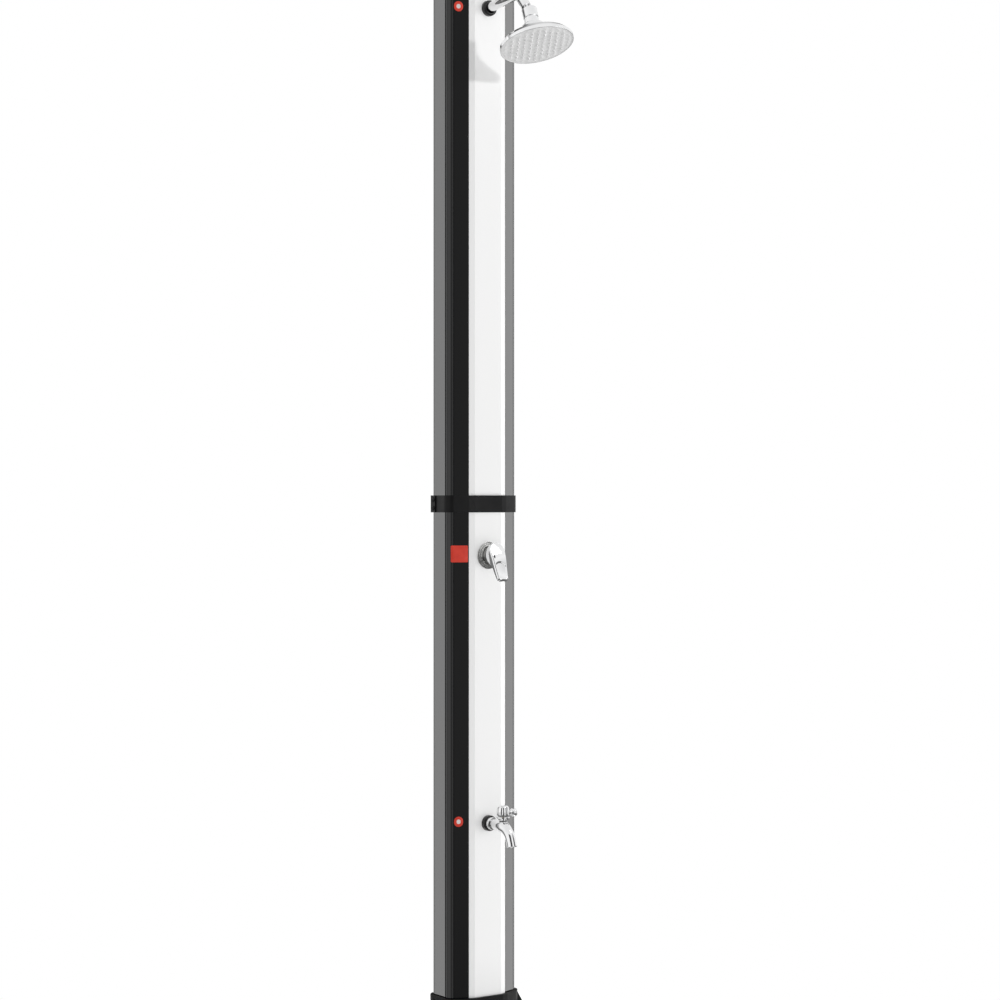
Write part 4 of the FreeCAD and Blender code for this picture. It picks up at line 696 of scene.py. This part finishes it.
def threaded_inlet():
    """The hose inlet round a plain bore: radius = crest - depth * (a triangle wave of length / pitch +
    angle / a full turn), with the wave fading out at both ends and a small chamfer."""
    crest, depth, pitch, chamfer, bore = 0.01046, 0.00085, 0.0018, 0.0008, 0.007
    inner_end, thread_start, thread_end, outer_end = -0.017, 0.0130, 0.0274, 0.0280
    plain = np.linspace(inner_end, thread_start - 0.0005, 12)
    threaded = np.linspace(thread_start, thread_end, 120)
    length = np.concatenate([plain, threaded, [outer_end]])[:, None]
    angle = around(72)
    wave = np.abs(((length / pitch + angle / FULL_TURN) % 1) * 2 - 1)
    fade = smooth_step(length, 0.0135, 0.0150) * (1 - smooth_step(length, 0.0262, thread_end))
    outer = crest - depth * wave * fade - chamfer * smooth_step(length, 0.0268, outer_end)
    r = np.concatenate([outer, np.full((2, len(angle)), bore)])
    h = np.concatenate([length, [[outer_end]], [[inner_end]]]) + 0 * r
    points = np.stack([r * np.cos(angle), r * np.sin(angle), h], 2)
    faces = grid_faces(len(r), len(angle), round_rows=True)
    inlet = piece("threaded_inlet", to_back(points, INLET_Z), faces, "post", FINISHES["brass"])
    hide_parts("hose_inlet")
    return crisp(tidy_mesh(inlet, 2 * MICRON), 50)


foot_tap_casting()
foot_tap_collar()
foot_tap_bonnet()
foot_tap_handle()
threaded_inlet()


# ---------------------------------------------------------------- stickers

# The left front facet of the tanks, seen from above: it runs from beside the strip to the side wall.
FACET_START = np.array([-0.0453, FRONT_Y + 0.0036])
FACET_END = np.array([-0.085, FRONT_Y + 0.0202])
FACET_LENGTH = np.linalg.norm(FACET_END - FACET_START)
FACET_ALONG = (FACET_END - FACET_START) / FACET_LENGTH
FACET_OUT = np.array([-FACET_ALONG[1], FACET_ALONG[0]])


def on_facet(points, along, height):
    """Places points on the left front facet: local X runs away from the strip, Y is up, Z is outwards."""
    p = np.asarray(points, float)
    flat = FACET_START + FACET_ALONG * (p[..., 0:1] + along) + FACET_OUT * p[..., 2:3]
    return np.stack([flat[..., 0], flat[..., 1], p[..., 1] + height], -1)


def sticker(name, size, corner, along, height, thickness, material, lift=0.0):
    """A thin sheet with round corners: copies of a rounded rectangle's outline, scaled from the middle of
    the back to the edge, up to a soft rim and in to the middle of the front."""
    x, y = size[0] / 2, size[1] / 2
    edge = rounded([(-x, -y, corner), (x, -y, corner), (x, y, corner), (-x, y, corner)], 7)
    scale = np.array([0.0001, 1.0, 1.0, 0.985, 0.5, 0.0001])[:, None, None]
    level = lift + thickness * np.array([0.0, 0.0, 0.7, 1.0, 1.0, 1.0])[:, None]
    flat = edge * scale
    points = np.concatenate([flat, (level + 0 * flat[..., 0])[..., None]], 2)
    faces = grid_faces(len(scale), len(edge))
    sheet = piece(name, on_facet(points, along, height), faces, "post", material)
    crisp(tidy_mesh(sheet, 10 * MICRON), 50)
    sheet.visible_glossy = False


def service_dot(name, height):
    """A round red sticker with a smaller pale one on it, in the middle of the facet."""
    middle, red_thickness = FACET_LENGTH * 0.5, 0.00025
    sticker(name, (0.019, 0.021), 0.0094, middle, height, red_thickness, RED_VINYL)
    sticker(f"{name}_middle", (0.0085, 0.0095), 0.0042, middle, height, 0.0001, PALE_VINYL, red_thickness)


sticker("service_label", (0.0360, 0.0345), 0.002, FACET_LENGTH * 0.46, 0.9705, 0.0003, RED_VINYL)
service_dot("service_dot_upper", 2.0922)
service_dot("service_dot_lower", 0.4220)


# ---------------------------------------------------------------- studio

def way_from_front(degrees, rise=0.0):
    """A direction so many degrees round from the front towards the left; negative is to the right."""
    turn = math.radians(degrees)
    return Vector((-math.sin(turn), -math.cos(turn), rise)).normalized()


def add_camera():
    """A level view from the front left, with a long lens."""
    turn, distance, sideways, height = 35, 4.812, 0.0247, 1.081
    data = bpy.data.cameras.new("view")
    data.sensor_width, data.lens = 36, 84.1
    camera = bpy.data.objects.new("view", data)
    right = way_from_front(turn - 90)
    camera.location = Vector((0, FRONT_Y, height)) + right * sideways + way_from_front(turn) * distance
    camera.rotation_euler = (math.pi / 2, 0, -math.radians(turn))
    bpy.context.scene.collection.objects.link(camera)
    bpy.context.scene.camera = camera


def ramp(tree, source, start, end, low, high):
    """A smooth step of a value: low up to the start, high from the end."""
    made = node(tree, "ShaderNodeMapRange", From_Min=start, From_Max=end, To_Min=low, To_Max=high)
    made.interpolation_type = "SMOOTHSTEP"
    tree.links.new(source, made.inputs["Value"])
    return made.outputs["Result"]


def joined(tree, operation, first, second):
    """Two values put through one arithmetic operation."""
    made = tree.nodes.new("ShaderNodeMath")
    made.operation = operation
    tree.links.new(first, made.inputs[0])
    tree.links.new(second, made.inputs[1])
    return made.outputs["Value"]


def add_world():
    """White behind the post. Metal sees a white room that darkens below the horizon and straight behind
    the post, and matt surfaces get a softer white, more of it from below as over a pale floor."""
    world = bpy.data.worlds.new("studio")
    bpy.context.scene.world = world
    world.use_nodes = True
    tree = world.node_tree
    way = tree.nodes.new("ShaderNodeTexCoord").outputs["Generated"]
    parts = tree.nodes.new("ShaderNodeSeparateXYZ")
    tree.links.new(way, parts.inputs["Vector"])
    up, back = parts.outputs["Z"], parts.outputs["Y"]

    matt_light = tree.nodes["Background"]
    matt_light.inputs["Color"].default_value = WHITE
    tree.links.new(ramp(tree, up, -0.35, 0.35, 0.80, 0.42), matt_light.inputs["Strength"])

    below = ramp(tree, up, -0.42, -0.08, 0.16, 1.0)
    above = ramp(tree, up, 0.1, 1.0, 1.0, 0.86)
    behind = ramp(tree, back, 0.45, 0.8, 1.0, 0.10)
    room = joined(tree, "MULTIPLY", joined(tree, "MULTIPLY", below, above), behind)

    path = tree.nodes.new("ShaderNodeLightPath")
    by_camera = path.outputs["Is Camera Ray"]
    mirrored = joined(tree, "MAXIMUM", path.outputs["Is Glossy Ray"], path.outputs["Is Transmission Ray"])
    seen = node(tree, "ShaderNodeBackground", Color=WHITE)
    tree.links.new(joined(tree, "MAXIMUM", by_camera, room), seen.inputs["Strength"])
    mix = tree.nodes.new("ShaderNodeMixShader")
    tree.links.new(joined(tree, "MAXIMUM", by_camera, mirrored), mix.inputs["Fac"])
    tree.links.new(matt_light.outputs["Background"], mix.inputs[1])
    tree.links.new(seen.outputs["Background"], mix.inputs[2])
    tree.links.new(mix.outputs["Shader"], tree.nodes["World Output"].inputs["Surface"])


def add_panel(name, way, distance, width, height, radiance, centre_z=1.08, only=None, mirrored=True,
              matt=True):
    """A soft lamp that faces the post; its power is radiance times pi times its area. It can be kept to
    some objects, and to matt or to mirrored light."""
    data = bpy.data.lights.new(name, "AREA")
    data.shape = "RECTANGLE"
    data.size, data.size_y = width, height
    data.energy = radiance * math.pi * width * height
    lamp = bpy.data.objects.new(name, data)
    lamp.location = way * distance + Vector((0, 0, centre_z))
    lamp.rotation_euler = (-way).to_track_quat("-Z", "Y").to_euler()
    lamp.visible_camera = False
    lamp.visible_glossy = mirrored
    lamp.visible_diffuse = matt
    bpy.context.scene.collection.objects.link(lamp)
    if only is not None:
        lamp.light_linking.receiver_collection = only
    return lamp


def group_of(name, items):
    """A collection of objects that a lamp is kept to."""
    group = bpy.data.collections.new(name)
    for item in items:
        group.objects.link(item)
    return group


def add_tank_reflections():
    """Tall soft panels all round, which only the glossy tanks mirror: angle, width and radiance of each."""
    tanks = group_of("glossy_tanks", [frame["nodes"][name] for name in ("lower_tank", "upper_tank")])
    panels = (
        (204, 1.1, 0.9), (181, 0.8, 1.6), (162, 0.62, 2.6), (145, 0.62, 5.4), (117, 0.60, 3.5),
        (86, 1.5, 2.2), (56, 1.2, 1.9), (31, 0.42, 2.8), (-81, 0.62, 5.5), (-110, 0.8, 2.2),
    )
    for angle, width, radiance in panels:
        add_panel(f"tank_panel_{angle + 180}", way_from_front(angle), 2.4, width, 4.2, radiance,
                  only=tanks, matt=False)


def add_collar_reflections():
    """Two tall soft panels, behind on the left and ahead on the right, which only the collar mirrors."""
    collar = group_of("collar_halves", [frame["nodes"][name] for name in ("collar_front", "collar_rear")])
    for angle, width, radiance in ((148, 1.3, 1.3), (-31, 1.2, 6.0)):
        add_panel(f"collar_panel_{angle + 180}", way_from_front(angle), 2.4, width, 3.0, radiance,
                  only=collar, matt=False)


def add_bright_side():
    """A broad soft panel behind on the left, which only the lever and the bell mirror."""
    bright = group_of("bright_from_the_left", [lever_casting, head_pieces[0]])
    add_panel("bright_side", way_from_front(158), 2.4, 2.6, 4.4, 0.85, only=bright, matt=False)


def add_lamps():
    """The lamps that light the whole post, and the key, whose light only the head can shade."""
    add_panel("side_panel", way_from_front(-72), distance=2.6, width=1.2, height=3.2, radiance=4.4,
              centre_z=0.3, mirrored=False)
    key = add_panel("key", way_from_front(-16, rise=0.233), distance=9.0, width=0.58, height=0.58,
                    radiance=215.0, centre_z=1.9, mirrored=False)
    key.light_linking.blocker_collection = group_of("shadow_of_the_head", head_pieces)
    add_panel("high_panel", way_from_front(-35), distance=1.66, width=1.0, height=0.9, radiance=2.4,
              centre_z=2.68, matt=False)


def add_card(name, angle, distance, width, low, high, tone, top_tone):
    """A tall upright card that only mirrors see, such as a studio flag: a grid whose points step across
    its middle direction, pulled in at both edges by a parabola. It glows faintly with a tone, which
    changes to another towards its top."""
    way = way_from_front(angle)
    across = np.linspace(-0.5, 0.5, 9)[None, :]
    up = np.linspace(low, high, 5)[:, None]
    run = distance - 0.15 * across ** 2
    x = way.x * run - way.y * across * width + 0 * up
    y = way.y * run + way.x * across * width + 0 * up
    mesh = bpy.data.meshes.new(name)
    mesh.from_pydata(np.stack([x, y, up + 0 * across], 2).reshape(-1, 3).tolist(), [],
                     grid_faces(up.size, across.size, round_columns=False))
    card = bpy.data.objects.new(name, mesh)
    bpy.context.scene.collection.objects.link(card)
    cloth = finish_of(name, (0.03,) * 3, (0.05,) * 3, (0.9, 1.0), 3, 5, Emission_Color=WHITE)
    tree = cloth.node_tree
    parts = tree.nodes.new("ShaderNodeSeparateXYZ")
    tree.links.new(tree.nodes.new("ShaderNodeTexCoord").outputs["Object"], parts.inputs["Vector"])
    glow = ramp(tree, parts.outputs["Z"], 1.0, high, tone, top_tone)
    tree.links.new(glow, tree.nodes["Principled BSDF"].inputs["Emission Strength"])
    dress(card, cloth)
    card.visible_camera = card.visible_diffuse = card.visible_shadow = card.visible_transmission = False


def add_floor():
    """A pale round floor under the foot, of rings radius * (cos a, sin a). The camera and metal see it as
    white, and it keeps the shadow."""
    angle = around(96)
    radius = np.array([0.0005, 0.10, 0.20, 0.30])[:, None]
    points = np.stack([radius * np.cos(angle), radius * np.sin(angle), -0.0005 + 0 * radius * angle], 2)
    mesh = bpy.data.meshes.new("floor")
    mesh.from_pydata(points.reshape(-1, 3).tolist(), [], grid_faces(len(radius), len(angle)))
    floor = bpy.data.objects.new("floor", mesh)
    bpy.context.scene.collection.objects.link(floor)
    pale = finish_of("pale_floor", (0.93, 0.93, 0.93), (0.96, 0.96, 0.96), (0.8, 0.9), 3, 5,
                     [(300, 20, ROUND)], Emission_Color=WHITE)
    tree = pale.node_tree
    path = tree.nodes.new("ShaderNodeLightPath")
    seen = joined(tree, "MAXIMUM", path.outputs["Is Camera Ray"], path.outputs["Is Glossy Ray"])
    glow = ramp(tree, seen, 0.0, 1.0, 0.3, 0.72)
    tree.links.new(glow, tree.nodes["Principled BSDF"].inputs["Emission Strength"])
    dress(floor, pale)


add_camera()
add_world()
add_floor()
add_tank_reflections()
add_collar_reflections()
add_bright_side()
add_lamps()
add_card("right_flag", -42, distance=1.7, width=1.15, low=-0.8, high=2.0, tone=0.11, top_tone=0.95)
add_card("front_flag", 35, distance=3.2, width=2.4, low=-1.6, high=2.9, tone=0.03, top_tone=0.05)

bpy.context.scene.view_settings.view_transform = "Standard"
